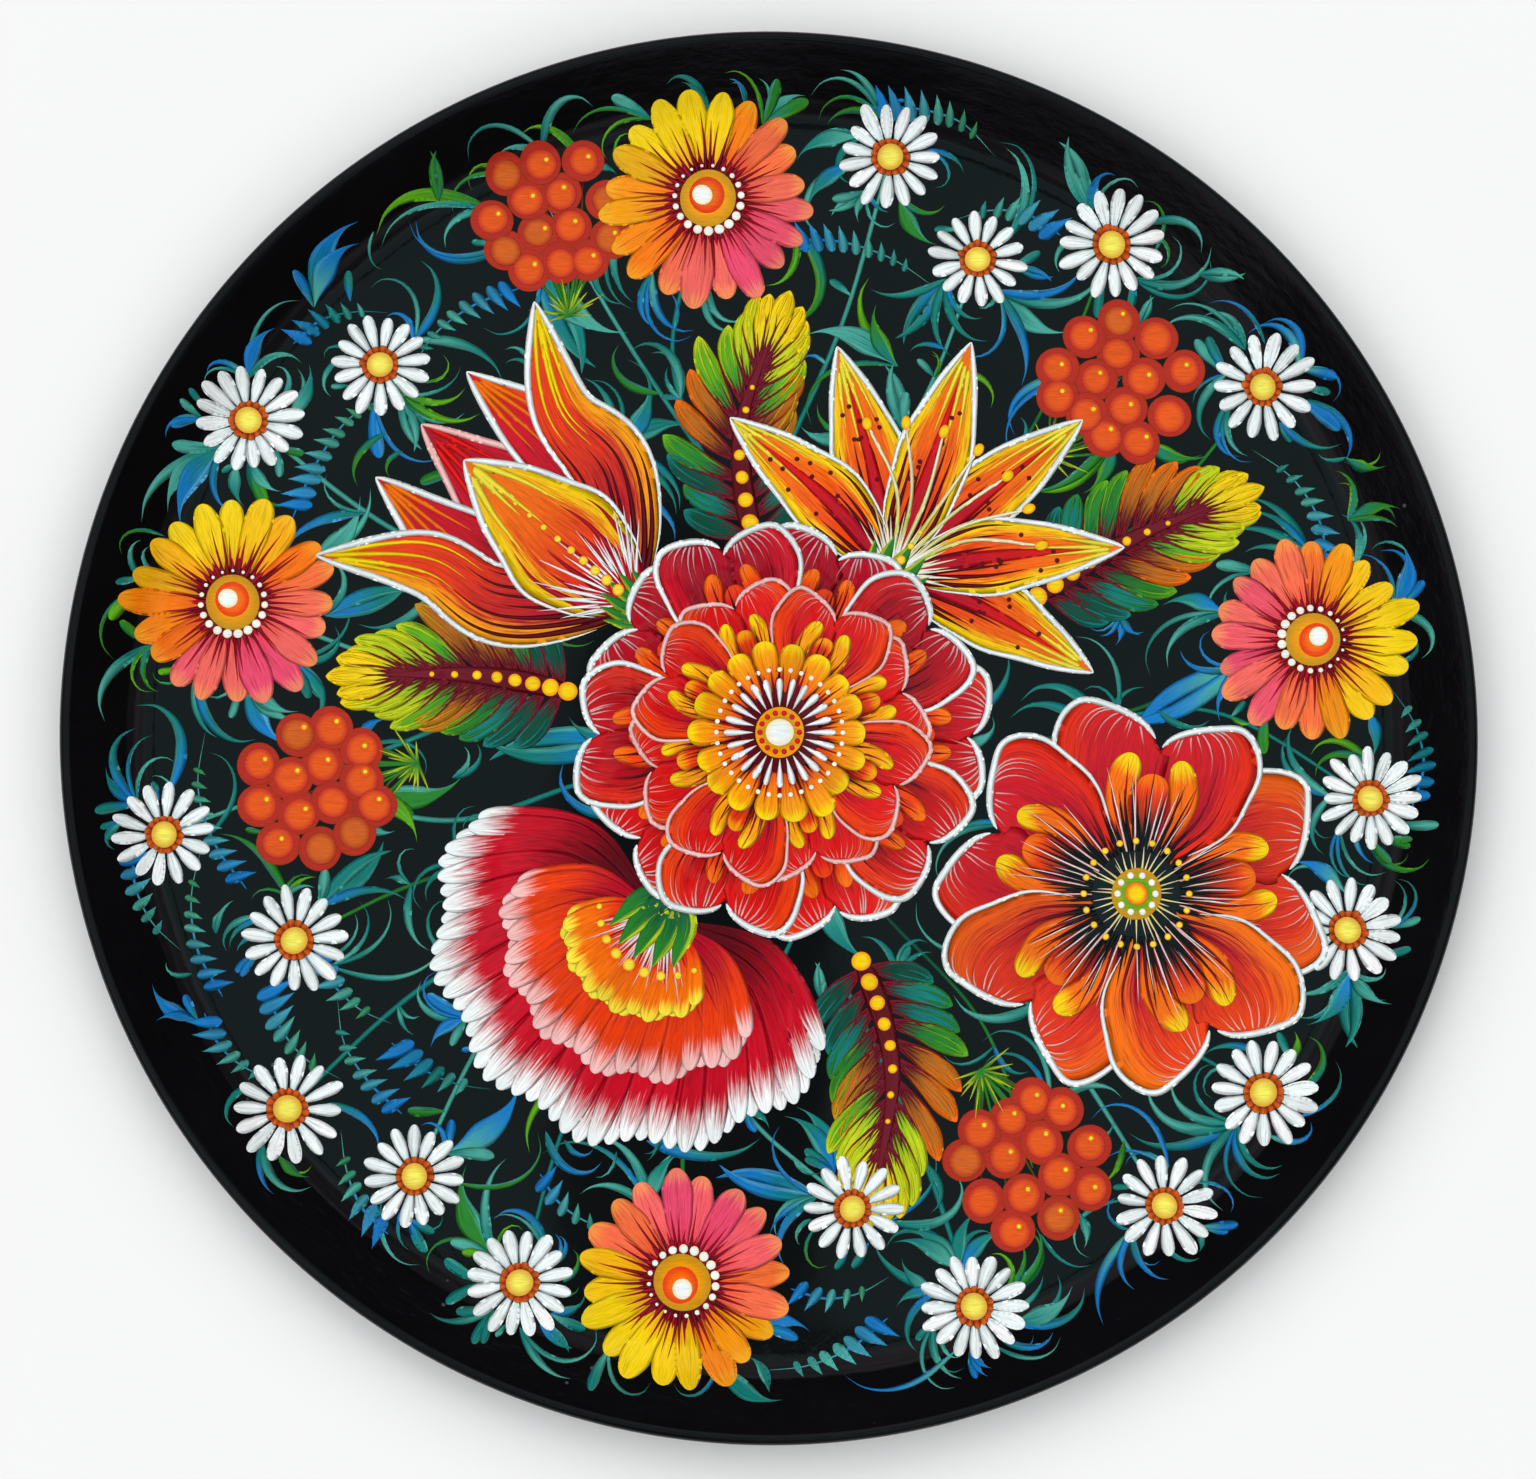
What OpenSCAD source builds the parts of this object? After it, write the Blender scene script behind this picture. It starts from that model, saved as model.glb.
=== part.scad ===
// Round painted tray: a pressed steel sheet with a flat floor, a flared rim and an edge
// curled under round a wire, with a wire loop behind the rim to hang it by.
// The tray lies on its floor: +Z is the painted face, +Y is the top of the painting,
// and the origin is the middle of the underside.

/* [Tray] */
// Diameter over the curled edge
tray_diameter = 350; // [240:1:500]
// Thickness of the lacquered sheet
sheet = 0.8; // [0.5:0.05:1.2]
// Height from the underside of the floor to the top of the edge
rim_height = 14; // [11:0.5:30]
// Slope of the rim above the horizontal, in degrees
rim_angle = 40; // [25:1:65]
// Inside radius of the bend between the floor and the rim
cove_radius = 12; // [4:0.5:20]

/* [Curled edge] */
// Diameter of the wire inside the edge
wire_diameter = 1.6; // [1:0.1:3]
// Room between the wire and the sheet curled round it
wire_clearance = 0.05; // [0.02:0.01:0.1]
// How far the sheet is curled round the wire, in degrees
curl_wrap = 285; // [200:5:285]
// Gap between the two ends of the wire
wire_gap = 1.5; // [0.5:0.1:5]

/* [Hanging loop] */
// Diameter of the loop's wire
loop_wire = 1.8; // [1.2:0.1:2.4]
// Distance between the middles of the loop's two legs
loop_width = 16; // [10:0.5:30]
// Radius at which the loop's wire is bent, along its middle
loop_bend = 2.4; // [1.5:0.1:3]
// Distance from the outer edge of the tray in to the middle of the loop
loop_inset = 6; // [5:0.1:8]
// Height of the loop's bar above the surface that the tray lies on
loop_lift = 0.8; // [0.4:0.1:2]
// Diameter of the solder round each leg where it meets the rim
solder_diameter = 4.4; // [3:0.1:5.5]
// Diameter of the solder at its lower end, a little over the loop's wire
solder_tip = 2.4; // [2.4:0.1:3]
// Height of the solder along the leg
solder_height = 1.5; // [0.8:0.1:2]

/* [Hidden] */
$fn = 180;
// Facets round a large circle that small pieces are cut to
fine_facets = 720;

// Curled edge: the wire's place, and the inside and outside of the curl
curl_inside = wire_diameter / 2 + wire_clearance;
curl_outside = curl_inside + sheet;
wire_ring_radius = tray_diameter / 2 - curl_outside;
wire_height = rim_height - curl_outside;

// Rim: where its upper face runs into the curl, its length, and where the flat floor ends
rim_top_radius = wire_ring_radius - curl_outside * sin(rim_angle);
rim_top_height = wire_height + curl_outside * cos(rim_angle);
rim_length = (rim_top_height - sheet - cove_radius * (1 - cos(rim_angle))) / sin(rim_angle);
floor_radius = rim_top_radius - rim_length * cos(rim_angle) - cove_radius * sin(rim_angle);

// Loop: its distance from the tray's axis, its bar's height, and the tops of its legs
loop_radius = tray_diameter / 2 - loop_inset;
loop_bar_height = loop_lift + loop_wire / 2;
loop_leg_radius = norm([loop_width / 2, loop_radius]);
loop_leg_top = rim_underside(loop_leg_radius);
loop_leg_turn = atan2(loop_width / 2, loop_radius);

// How far a bend runs into the straight sheet on each side of it, in degrees, to make one piece
bend_overlap = 0.05;
// How far the solder is drawn past the rim's underside before it is cut to it
solder_sink = 0.3;

// Colours
lacquer_black = [0.05, 0.05, 0.06];
wire_grey = [0.55, 0.55, 0.56];
loop_black = [0.10, 0.10, 0.11];
solder_grey = [0.20, 0.20, 0.21];

// Height of the sloping rim's underside at a distance from the tray's axis
function rim_underside(radius) =
    rim_top_height - (rim_top_radius - radius) * tan(rim_angle) - sheet / cos(rim_angle);

// A wedge with its point at the origin, from one angle to another, that reaches past a radius
module wedge(from, to, reach) {
    steps = 6;
    spare = 1.05;
    turn = (to - from) / steps;
    far = spare * reach / cos(turn / 2);
    polygon(concat([[0, 0]], [for (i = [0 : steps]) far * [cos(from + i * turn), sin(from + i * turn)]]));
}

// A part of a flat ring between two radii and two angles
module ring_part(inside, outside, from, to) {
    intersection() {
        difference() {
            circle(r = outside);
            circle(r = inside);
        }
        wedge(from - bend_overlap, to + bend_overlap, outside);
    }
}

// The sheet in section, from the middle of the floor to the end of the curl
module sheet_section() {
    square([floor_radius, sheet]);
    translate([floor_radius, sheet + cove_radius])
        ring_part(cove_radius, cove_radius + sheet, -90, rim_angle - 90);
    translate([rim_top_radius, rim_top_height])
        rotate(rim_angle)
            translate([-rim_length, -sheet])
                square([rim_length, sheet]);
    translate([wire_ring_radius, wire_height])
        ring_part(curl_inside, curl_outside, 90 + rim_angle - curl_wrap, 90 + rim_angle);
}

// All the space right under the sloping rim, down to the surface that the tray lies on
module space_under_rim() {
    inner = floor_radius + cove_radius;
    outer = tray_diameter / 2;
    rotate_extrude($fn = fine_facets)
        polygon([
            [inner, 0],
            [outer, 0],
            [outer, rim_underside(outer)],
            [inner, max(rim_underside(inner), 0)]
        ]);
}

// The loop's wire before its legs are cut to the slope of the rim
module loop_wire_path() {
    half = loop_width / 2;
    straight = half - loop_bend;
    leg_bottom = loop_bar_height + loop_bend;
    leg_top = loop_leg_top + loop_wire;
    translate([-straight, 0, loop_bar_height])
        rotate([0, 90, 0])
            cylinder(d = loop_wire, h = 2 * straight);
    for (side = [-1, 1]) {
        translate([side * straight, 0, leg_bottom])
            rotate([90, 0, 0])
                rotate([0, 0, side > 0 ? -90 : 180])
                    rotate_extrude(angle = 90)
                        translate([loop_bend, 0])
                            circle(d = loop_wire);
        translate([side * half, 0, leg_bottom])
            cylinder(d = loop_wire, h = leg_top - leg_bottom);
    }
}

module tray_pan() {
    color(lacquer_black)
        rotate_extrude()
            sheet_section();
}

module rim_wire() {
    gap_angle = wire_gap / wire_ring_radius * 180 / PI;
    color(wire_grey)
        rotate([0, 0, gap_angle / 2 - 90])
            rotate_extrude(angle = 360 - gap_angle)
                translate([wire_ring_radius, wire_height])
                    circle(d = wire_diameter);
}

module hanging_loop() {
    color(loop_black)
        intersection() {
            translate([0, loop_radius, 0])
                loop_wire_path();
            space_under_rim();
        }
}

// A collar of solder, wide where it meets the rim
module solder_collar() {
    cylinder(d1 = solder_tip, d2 = solder_diameter, h = solder_height + solder_sink);
}

// The collars lie square to the rim round the top of each leg
module solder_joints() {
    color(solder_grey)
        difference() {
            intersection() {
                for (side = [-1, 1])
                    rotate([0, 0, -side * loop_leg_turn])
                        translate([0, loop_leg_radius, loop_leg_top])
                            rotate([rim_angle, 0, 0])
                                translate([0, 0, -solder_height])
                                    solder_collar();
                space_under_rim();
            }
            translate([0, loop_radius, 0])
                loop_wire_path();
        }
}

tray_pan();
rim_wire();
hanging_loop();
solder_joints();
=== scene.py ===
import itertools
import math
from functools import reduce
from types import SimpleNamespace

import bpy
import numpy as np
from mathutils import Matrix, Vector
from mathutils.kdtree import KDTree


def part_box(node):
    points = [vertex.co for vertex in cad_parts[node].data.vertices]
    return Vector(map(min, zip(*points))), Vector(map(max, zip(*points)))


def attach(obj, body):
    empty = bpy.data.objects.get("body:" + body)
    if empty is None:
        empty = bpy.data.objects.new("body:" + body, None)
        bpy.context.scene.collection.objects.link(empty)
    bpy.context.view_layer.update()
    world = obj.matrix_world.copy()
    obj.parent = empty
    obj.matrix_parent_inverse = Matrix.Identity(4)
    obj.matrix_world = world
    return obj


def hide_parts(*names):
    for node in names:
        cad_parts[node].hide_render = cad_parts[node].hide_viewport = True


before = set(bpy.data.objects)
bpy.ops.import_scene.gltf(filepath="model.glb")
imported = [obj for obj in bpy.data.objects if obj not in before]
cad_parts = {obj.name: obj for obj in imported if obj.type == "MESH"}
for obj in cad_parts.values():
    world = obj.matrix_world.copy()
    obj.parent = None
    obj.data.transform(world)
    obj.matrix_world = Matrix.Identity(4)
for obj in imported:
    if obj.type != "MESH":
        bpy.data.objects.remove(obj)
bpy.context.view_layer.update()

# Sizes of the tray in millimetres, in which the painting is laid out too
MM = 0.001
TRAY_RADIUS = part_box("tray_pan")[1].x / MM
RIM_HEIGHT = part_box("tray_pan")[1].z / MM
SHEET = 0.8
RIM_ANGLE = math.radians(40)
COVE_RADIUS = 12.0
WIRE_ROOM = 0.85
EDGE_RADIUS = WIRE_ROOM + SHEET
CURL_WRAP = math.radians(285)
RIM_TOP_RADIUS = TRAY_RADIUS - EDGE_RADIUS * (1 + math.sin(RIM_ANGLE))
RIM_TOP_HEIGHT = RIM_HEIGHT - EDGE_RADIUS * (1 - math.cos(RIM_ANGLE))
COVE_RISE = COVE_RADIUS * (1 - math.cos(RIM_ANGLE))
COVE_RUN = COVE_RADIUS * math.sin(RIM_ANGLE)
FLOOR_RADIUS = RIM_TOP_RADIUS - (RIM_TOP_HEIGHT - SHEET - COVE_RISE) / math.tan(RIM_ANGLE) - COVE_RUN

# Mesh of a stroke: rows along it and columns across it, and its longest step where the tray bends
ROWS_PER_MM = 1.05
HAIR_WIDTH = 0.65
HAIR_ROWS_PER_MM = 0.72
OUTLINE_ROWS_PER_MM = 1.6
LEAST_ROWS = 5
MOST_ROWS = 48
MOST_OUTLINE_ROWS = 80
LEAST_COLUMNS = 2
MOST_COLUMNS = 12
COVE_STEP = 1.2
# Points of a stroke's middle line, and the least and the most parts of a dot round and across
LINE_POINTS = 48
DOT_SEGMENTS = (10, 36)
DOT_RINGS = (3, 8)

# Paint in millimetres: the film under a stroke on the floor and on the bend, and the cells of the height map
FILM = 0.004
COVE_FILM = 0.02
HEIGHT_CELL = 0.6
# Height of a stroke's crown: its least, what each millimetre of half width adds, and its most
CROWN = 0.006
CROWN_GROWTH = 0.003
MOST_CROWN = 0.02
# Height of a dot as a share of its radius, and its most
DOT_HEIGHT = 0.18
MOST_DOT_HEIGHT = 0.15
# How far the ground shows along the sides of a stroke, and the half width from which it does so in full
EDGE_WASH = 0.22
WASH_WIDTH = 2.4
# How much strokes and dots differ in tone, and the room that their random seeds are drawn from
STROKE_UNEVENNESS = 0.05
DOT_UNEVENNESS = 0.03
SEED_ROOM = 90

# Space on the face in millimetres: how far the leaves and the flowers reach out, and the steps of its grids
PAINT_LIMIT = 0.962 * TRAY_RADIUS
BLOOM_LIMIT = 165.0
FREE_CELL = 0.8
GAP_STEP = 4.0
# The least gap that gets a sprig, and the room kept on each side of a small leaf
LEAST_GAP = 4.2
LEAF_GAP = 0.2
# Share of a small leaf that may lie over other leaves, and under motifs
LEAF_OVERLAP = 0.04
LEAF_HIDDEN = 0.4
# Of the 24 places along a small leaf, the first that has to be free and the first that it takes up
TEST_FROM = 8
TAKE_FROM = 4

# Layers under the bouquet, from the lacquer up
STEM_LAYER = 0
BLADE_LAYER = 4
FERN_LAYER = 6
LEAF_LAYER = 20

rng = np.random.default_rng(20)


def ink(red, green, blue):
    """A colour written in 0 to 255 as a screen shows it, as the linear values that shaders use"""
    c = np.array([red, green, blue]) / 255
    return np.where(c <= 0.04045, c / 12.92, ((c + 0.055) / 1.055) ** 2.4)


def mixed(a, b, share):
    """A colour between two others"""
    return a + (b - a) * share


MAROON = ink(92, 4, 18)
CRIMSON = ink(176, 6, 36)
RUBY = ink(204, 8, 36)
SCARLET = ink(224, 18, 16)
VERMILION = ink(238, 62, 8)
ORANGE = ink(248, 112, 4)
AMBER = ink(251, 160, 6)
YELLOW = ink(252, 212, 4)
LEMON = ink(250, 228, 60)
CREAM = ink(255, 240, 200)
WHITE = ink(246, 253, 252)
MIST = ink(196, 218, 220)
BLUSH = ink(252, 196, 192)
PINK = ink(238, 74, 110)
CORAL = ink(250, 108, 92)
OCHRE = ink(204, 148, 16)
BROWN = ink(84, 30, 10)
LIME = ink(196, 212, 24)
LEAF = ink(96, 172, 22)
GREEN = ink(40, 128, 40)
PINE = ink(10, 74, 56)
TEAL = ink(16, 124, 116)
SEA = ink(76, 168, 152)
BLUE = ink(18, 122, 194)
SKY = ink(84, 168, 214)
BRONZE = ink(190, 108, 22)
RUST = ink(168, 44, 14)
BERRY = ink(232, 88, 18)
GLAZE = ink(190, 40, 30)
HONEY = ink(250, 238, 94)
GOLD = ink(226, 168, 50)
COPPER = ink(212, 96, 26)
WINE = ink(118, 18, 38)
SMOKE = ink(16, 26, 28)
GROUND = ink(10, 10, 11)


def face_height(radius):
    """Height of the tray's upper face at a distance from its axis"""
    bend = np.clip(radius - FLOOR_RADIUS, 0, COVE_RUN)
    rise = COVE_RADIUS - np.sqrt(COVE_RADIUS**2 - bend**2)
    slope = np.clip(radius - FLOOR_RADIUS - COVE_RUN, 0, None) * math.tan(RIM_ANGLE)
    return SHEET + rise + slope


def face_slope(radius):
    """Slope of the tray's upper face, in radians, at a distance from its axis"""
    return np.arcsin(np.clip((radius - FLOOR_RADIUS) / COVE_RADIUS, 0, math.sin(RIM_ANGLE)))


# Lines
def turned(points, degrees, centre=(0, 0)):
    """Points turned about the origin and then moved"""
    a = math.radians(degrees)
    spin = np.array([[math.cos(a), math.sin(a)], [-math.sin(a), math.cos(a)]])
    return np.asarray(points, float) @ spin + np.asarray(centre, float)


def polar(radius, degrees, centre=(0, 0)):
    """The point at a distance and a direction from a centre"""
    return turned([(radius, 0)], degrees, centre)[0]


def around(count, start=0.0):
    """Evenly spaced angles round a circle"""
    return [start + 360 * k / count for k in range(count)]


def between(low, high, count):
    """Evenly spaced angles across a fan"""
    return list(np.linspace(low, high, count))


def bearing(way):
    """The angle of a direction, in degrees"""
    return math.degrees(math.atan2(way[1], way[0]))


def left_of(way):
    """Directions turned a quarter to the left"""
    return np.stack([-way[..., 1], way[..., 0]], -1)


def headings(line):
    """The direction of a line at each of its points"""
    way = np.gradient(line, axis=0)
    return way / (np.linalg.norm(way, axis=1)[:, None] + 1e-9)


def distances(line):
    """How far along a line each of its points lies"""
    return np.concatenate([[0], np.cumsum(np.hypot(*np.diff(line, axis=0).T))])


def curve_through(points, count):
    """A smooth line through points, as that many points"""
    p = np.asarray(points, float)
    padded = np.vstack([2 * p[0] - p[1], p, 2 * p[-1] - p[-2]])
    t = np.linspace(0, len(p) - 1, count)
    i = np.minimum(t.astype(int), len(p) - 2)
    f = (t - i)[:, None]
    a, b, c, d = padded[i], padded[i + 1], padded[i + 2], padded[i + 3]
    return 0.5 * (2 * b + (c - a) * f + (2 * a - 5 * b + 4 * c - d) * f**2 + (3 * b - a - 3 * c + d) * f**3)


def arched(root, turn, length, curl, count=6):
    """Points along a line that bends more and more towards its end, by a total angle in degrees"""
    points = [np.asarray(root, float)]
    for k in range(count):
        turn += curl * (2 * k + 1) / count**2
        points.append(polar(length / count, turn, points[-1]))
    return np.array(points)


# Brush strokes
strokes = []

# Half width of a stroke from its start to its end, before it is scaled to a largest value of 1
SHAPES = {
    "drop": lambda u: u**0.85 * np.sqrt(1 - u**7),
    "lobe": lambda u: u**0.9 * np.sqrt(1 - u**4),
    "tooth": lambda u: u**0.8 * (1 - u**4) ** 0.75,
    "comma": lambda u: (1 - u) ** 0.85 * np.sqrt(1 - (1 - u) ** 7),
    "leaf": lambda u: np.sin(math.pi * u**0.8) ** 0.9,
    "blade": lambda u: np.sin(math.pi * u**0.55) ** 1.1,
    "hair": lambda u: (1 - u) ** 0.8 * np.minimum(1, u * 14) ** 0.5,
    "line": lambda u: np.sqrt(1 - (2 * u - 1) ** 8) * (1 - 0.35 * u),
    "rim": lambda u: u**0.6 * np.sqrt(1 - u**9),
    "oval": lambda u: u**0.7 * np.sqrt(1 - u**3),
    "whip": lambda u: np.sin(math.pi * u**0.62) ** 1.25,
    "bulb": lambda u: 0.8 * np.sin(math.pi * u**0.8) ** 3 + 0.2 * np.sin(math.pi * u**0.6),
}

# Where a stroke shows its third ink, from 0 to 1, by the place along it and across it
EDGES = {
    "none": lambda u, v: 0 * u,
    "left": lambda u, v: (v - 0.05) / 0.85,
    "right": lambda u, v: (-v - 0.05) / 0.85,
    "both": lambda u, v: (np.abs(v) - 0.35) / 0.6,
    "end": lambda u, v: (u - 0.72) / 0.26,
    "rim": lambda u, v: np.maximum((np.abs(v) - 0.5) / 0.5, (u - 0.78) / 0.22),
}
# The edge of a stroke by the side of its motif that it lies on
SIDES = {1: "left", -1: "right", 0: "both"}


class Track:
    """A line with a width that changes along it: u runs from its start to its end, v from right to left"""

    def __init__(self, points, half_width, shape):
        self.line = curve_through(points, max(LINE_POINTS, 3 * len(points)))
        self.reach = distances(self.line)
        self.length = self.reach[-1]
        self.way = headings(self.line)
        self.half_width = half_width
        self.profile = SHAPES[shape]
        self.widest = self.profile(np.linspace(0, 1, 200)).max()
        self.waves = rng.uniform(0, 2 * math.pi, 2)

    def width(self, u):
        """Half width at each place along the line, a little uneven as a hand makes it"""
        wobble = 1 + 0.035 * np.sin(8 * u + self.waves[0]) + 0.025 * np.sin(19 * u + self.waves[1])
        return self.half_width * self.profile(u) / self.widest * wobble

    def place(self, u, v):
        """Points on the tray at places along and across the stroke"""
        s = u * self.length
        centre, way = [np.stack([np.interp(s, self.reach, values[:, k]) for k in (0, 1)], -1)
                       for values in (self.line, self.way)]
        return centre + left_of(way) * (self.width(u) * v)[..., None]

    def along(self, v, start, end, count=20):
        """Points along the stroke at one place across it"""
        return self.place(np.linspace(start, end, count), np.full(count, float(v)))


def grid_faces(at, rows, columns):
    """Faces over a grid that starts and ends in a single point; at gives the index of a place"""
    faces = [(at(-1, j), at(0, j), at(0, j + 1)) for j in range(columns)]
    faces += [(at(i, j), at(i + 1, j), at(i + 1, j + 1), at(i, j + 1))
              for i in range(rows - 1) for j in range(columns)]
    return faces + [(at(rows - 1, j), at(rows, j), at(rows - 1, j + 1)) for j in range(columns)]


def stack(inks, unevenness, points, floors=None, **stroke):
    """Keeps one finished stroke until all are laid on the tray in the order of their layers

    Points holds the values at each point. Without floors given, a stroke gets an underside like its top.
    """
    shade = rng.normal(1, unevenness)
    inks = [c * shade for c in inks]
    inks += [inks[-1]] * (3 - len(inks))
    count = len(points["xy"])
    points["bristle"] = np.column_stack([points["bristle"], np.full(count, rng.uniform(0, SEED_ROOM))])
    if floors is None:
        inner = np.flatnonzero(points["rise"] > 1e-9)
        under = np.arange(count)
        under[inner] = count + np.arange(len(inner))
        floors = [tuple(under[v] for v in reversed(face)) for face in stroke["faces"]]
        points = {key: np.concatenate([values, values[inner]]) for key, values in points.items()}
        points["rise"][count:] = 0
    strokes.append(SimpleNamespace(inks=inks, floors=floors, **points, **stroke))


def brush(layer, piece, line, half_width, shape, inks, blend=(0.1, 0.9), edge="none", thin=0.0):
    """One brush stroke along a line: inks are its colours at the start, at the end and along an edge"""
    track = Track(line, half_width, shape)
    length = track.length
    density = ROWS_PER_MM if half_width > HAIR_WIDTH else HAIR_ROWS_PER_MM
    most = MOST_ROWS
    if shape == "rim":
        density = OUTLINE_ROWS_PER_MM
        most = MOST_OUTLINE_ROWS
    rows = int(np.clip(length * density, LEAST_ROWS, most))
    columns = int(np.clip(2 * half_width, LEAST_COLUMNS, MOST_COLUMNS))
    if np.hypot(*track.line.T).max() + half_width > FLOOR_RADIUS:
        rows = max(rows, int(length / COVE_STEP))
        columns = max(columns, int(2 * half_width / COVE_STEP))
    u_rows = 0.5 - 0.5 * np.cos(math.pi * np.arange(1, rows + 1) / (rows + 1))
    u, v = np.meshgrid(u_rows, np.linspace(-1, 1, columns + 1), indexing="ij")
    u = np.concatenate([[0.0], u.ravel(), [1.0]])
    v = np.concatenate([[0.0], v.ravel(), [0.0]])
    crown = min(CROWN + CROWN_GROWTH * half_width, MOST_CROWN)

    def relief(u, v):
        return crown * np.clip(track.width(u) / half_width, 0, 1) ** 0.5 * (1 - np.abs(v) ** 3) ** 0.7

    rise = relief(u, v)
    rise[[0, -1]] = 0
    run = (u - blend[0]) / (blend[1] - blend[0])
    wash = thin + EDGE_WASH * min(1, half_width / WASH_WIDTH) * np.abs(v) ** 4
    points = dict(
        xy=track.place(u, v),
        rise=rise,
        blend=np.stack([run, np.clip(EDGES[edge](u, v), 0, 1), wash], -1),
        bristle=np.stack([u * length, v * half_width], -1),
        chart=np.stack([u * length, (v + 1) * half_width], -1),
    )
    last = len(u) - 1
    at = lambda i, j: min(max(0, 1 + i * (columns + 1) + j), last)
    fine_u, fine_v = np.meshgrid(np.linspace(0, 1, max(4, int(length / HEIGHT_CELL))),
                                 np.linspace(-1, 1, max(3, int(2 * half_width / HEIGHT_CELL))))
    step = max(math.pi / 2 * length / rows, 2 * half_width / columns)
    stack(inks, STROKE_UNEVENNESS, points, layer=layer, piece=piece, faces=grid_faces(at, rows, columns),
          footprint=track.place(fine_u, fine_v).reshape(-1, 2), swell=relief(fine_u, fine_v).ravel(),
          grain=math.ceil(0.7 * step / HEIGHT_CELL), chart_size=(length, 2 * half_width))
    return track


def dot(layer, piece, centre, radius, inks, height=None, blend=(0.45, 0.95), oval=1.0, turn=0.0):
    """A drop of paint set with the end of a stick: inks are its colours at the middle and at the edge"""
    segments = int(np.clip(10 + 4 * radius, *DOT_SEGMENTS))
    rings = int(np.clip(3 + radius, *DOT_RINGS))
    if height is None:
        height = min(DOT_HEIGHT * radius, MOST_DOT_HEIGHT)
    ring = np.sin(np.arange(1, rings + 1) / rings * math.pi / 2)
    angle = np.arange(segments) / segments * 2 * math.pi + rng.uniform(0, 6)
    uneven = 1 + 0.025 * np.sin(2 * angle + rng.uniform(0, 6))
    reach = np.concatenate([[0], np.repeat(ring, segments)])
    way = np.concatenate([[0], np.tile(angle, rings)])
    far = reach * radius * np.concatenate([[1], np.tile(uneven, rings)])
    local = np.stack([far * np.cos(way), far * np.sin(way) * oval], -1)
    at = lambda i, j: max(0, 1 + i * segments + j % segments)
    tops = grid_faces(at, rings, segments)[:-segments]
    floors = [tuple(at(rings - 1, -j) for j in range(segments))]
    if np.hypot(*centre) + radius > FLOOR_RADIUS - 1:
        floors = None
    cells = np.linspace(-1, 1, max(3, int(2 * radius / HEIGHT_CELL)))
    square = np.stack(np.meshgrid(cells, cells), -1).reshape(-1, 2)
    disc = square[np.hypot(*square.T) <= 1] * radius * [1, oval]
    points = dict(
        xy=turned(local, turn, centre),
        rise=height * np.sqrt(1 - reach**2),
        blend=np.stack([(reach - blend[0]) / (blend[1] - blend[0]), 0 * reach, 0 * reach], -1),
        bristle=local,
        chart=local + radius,
    )
    stack(inks, DOT_UNEVENNESS, points, floors, layer=layer, piece=piece, faces=tops,
          footprint=turned(disc, turn, centre), swell=height, grain=0, chart_size=(2 * radius, 2 * radius))


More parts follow.
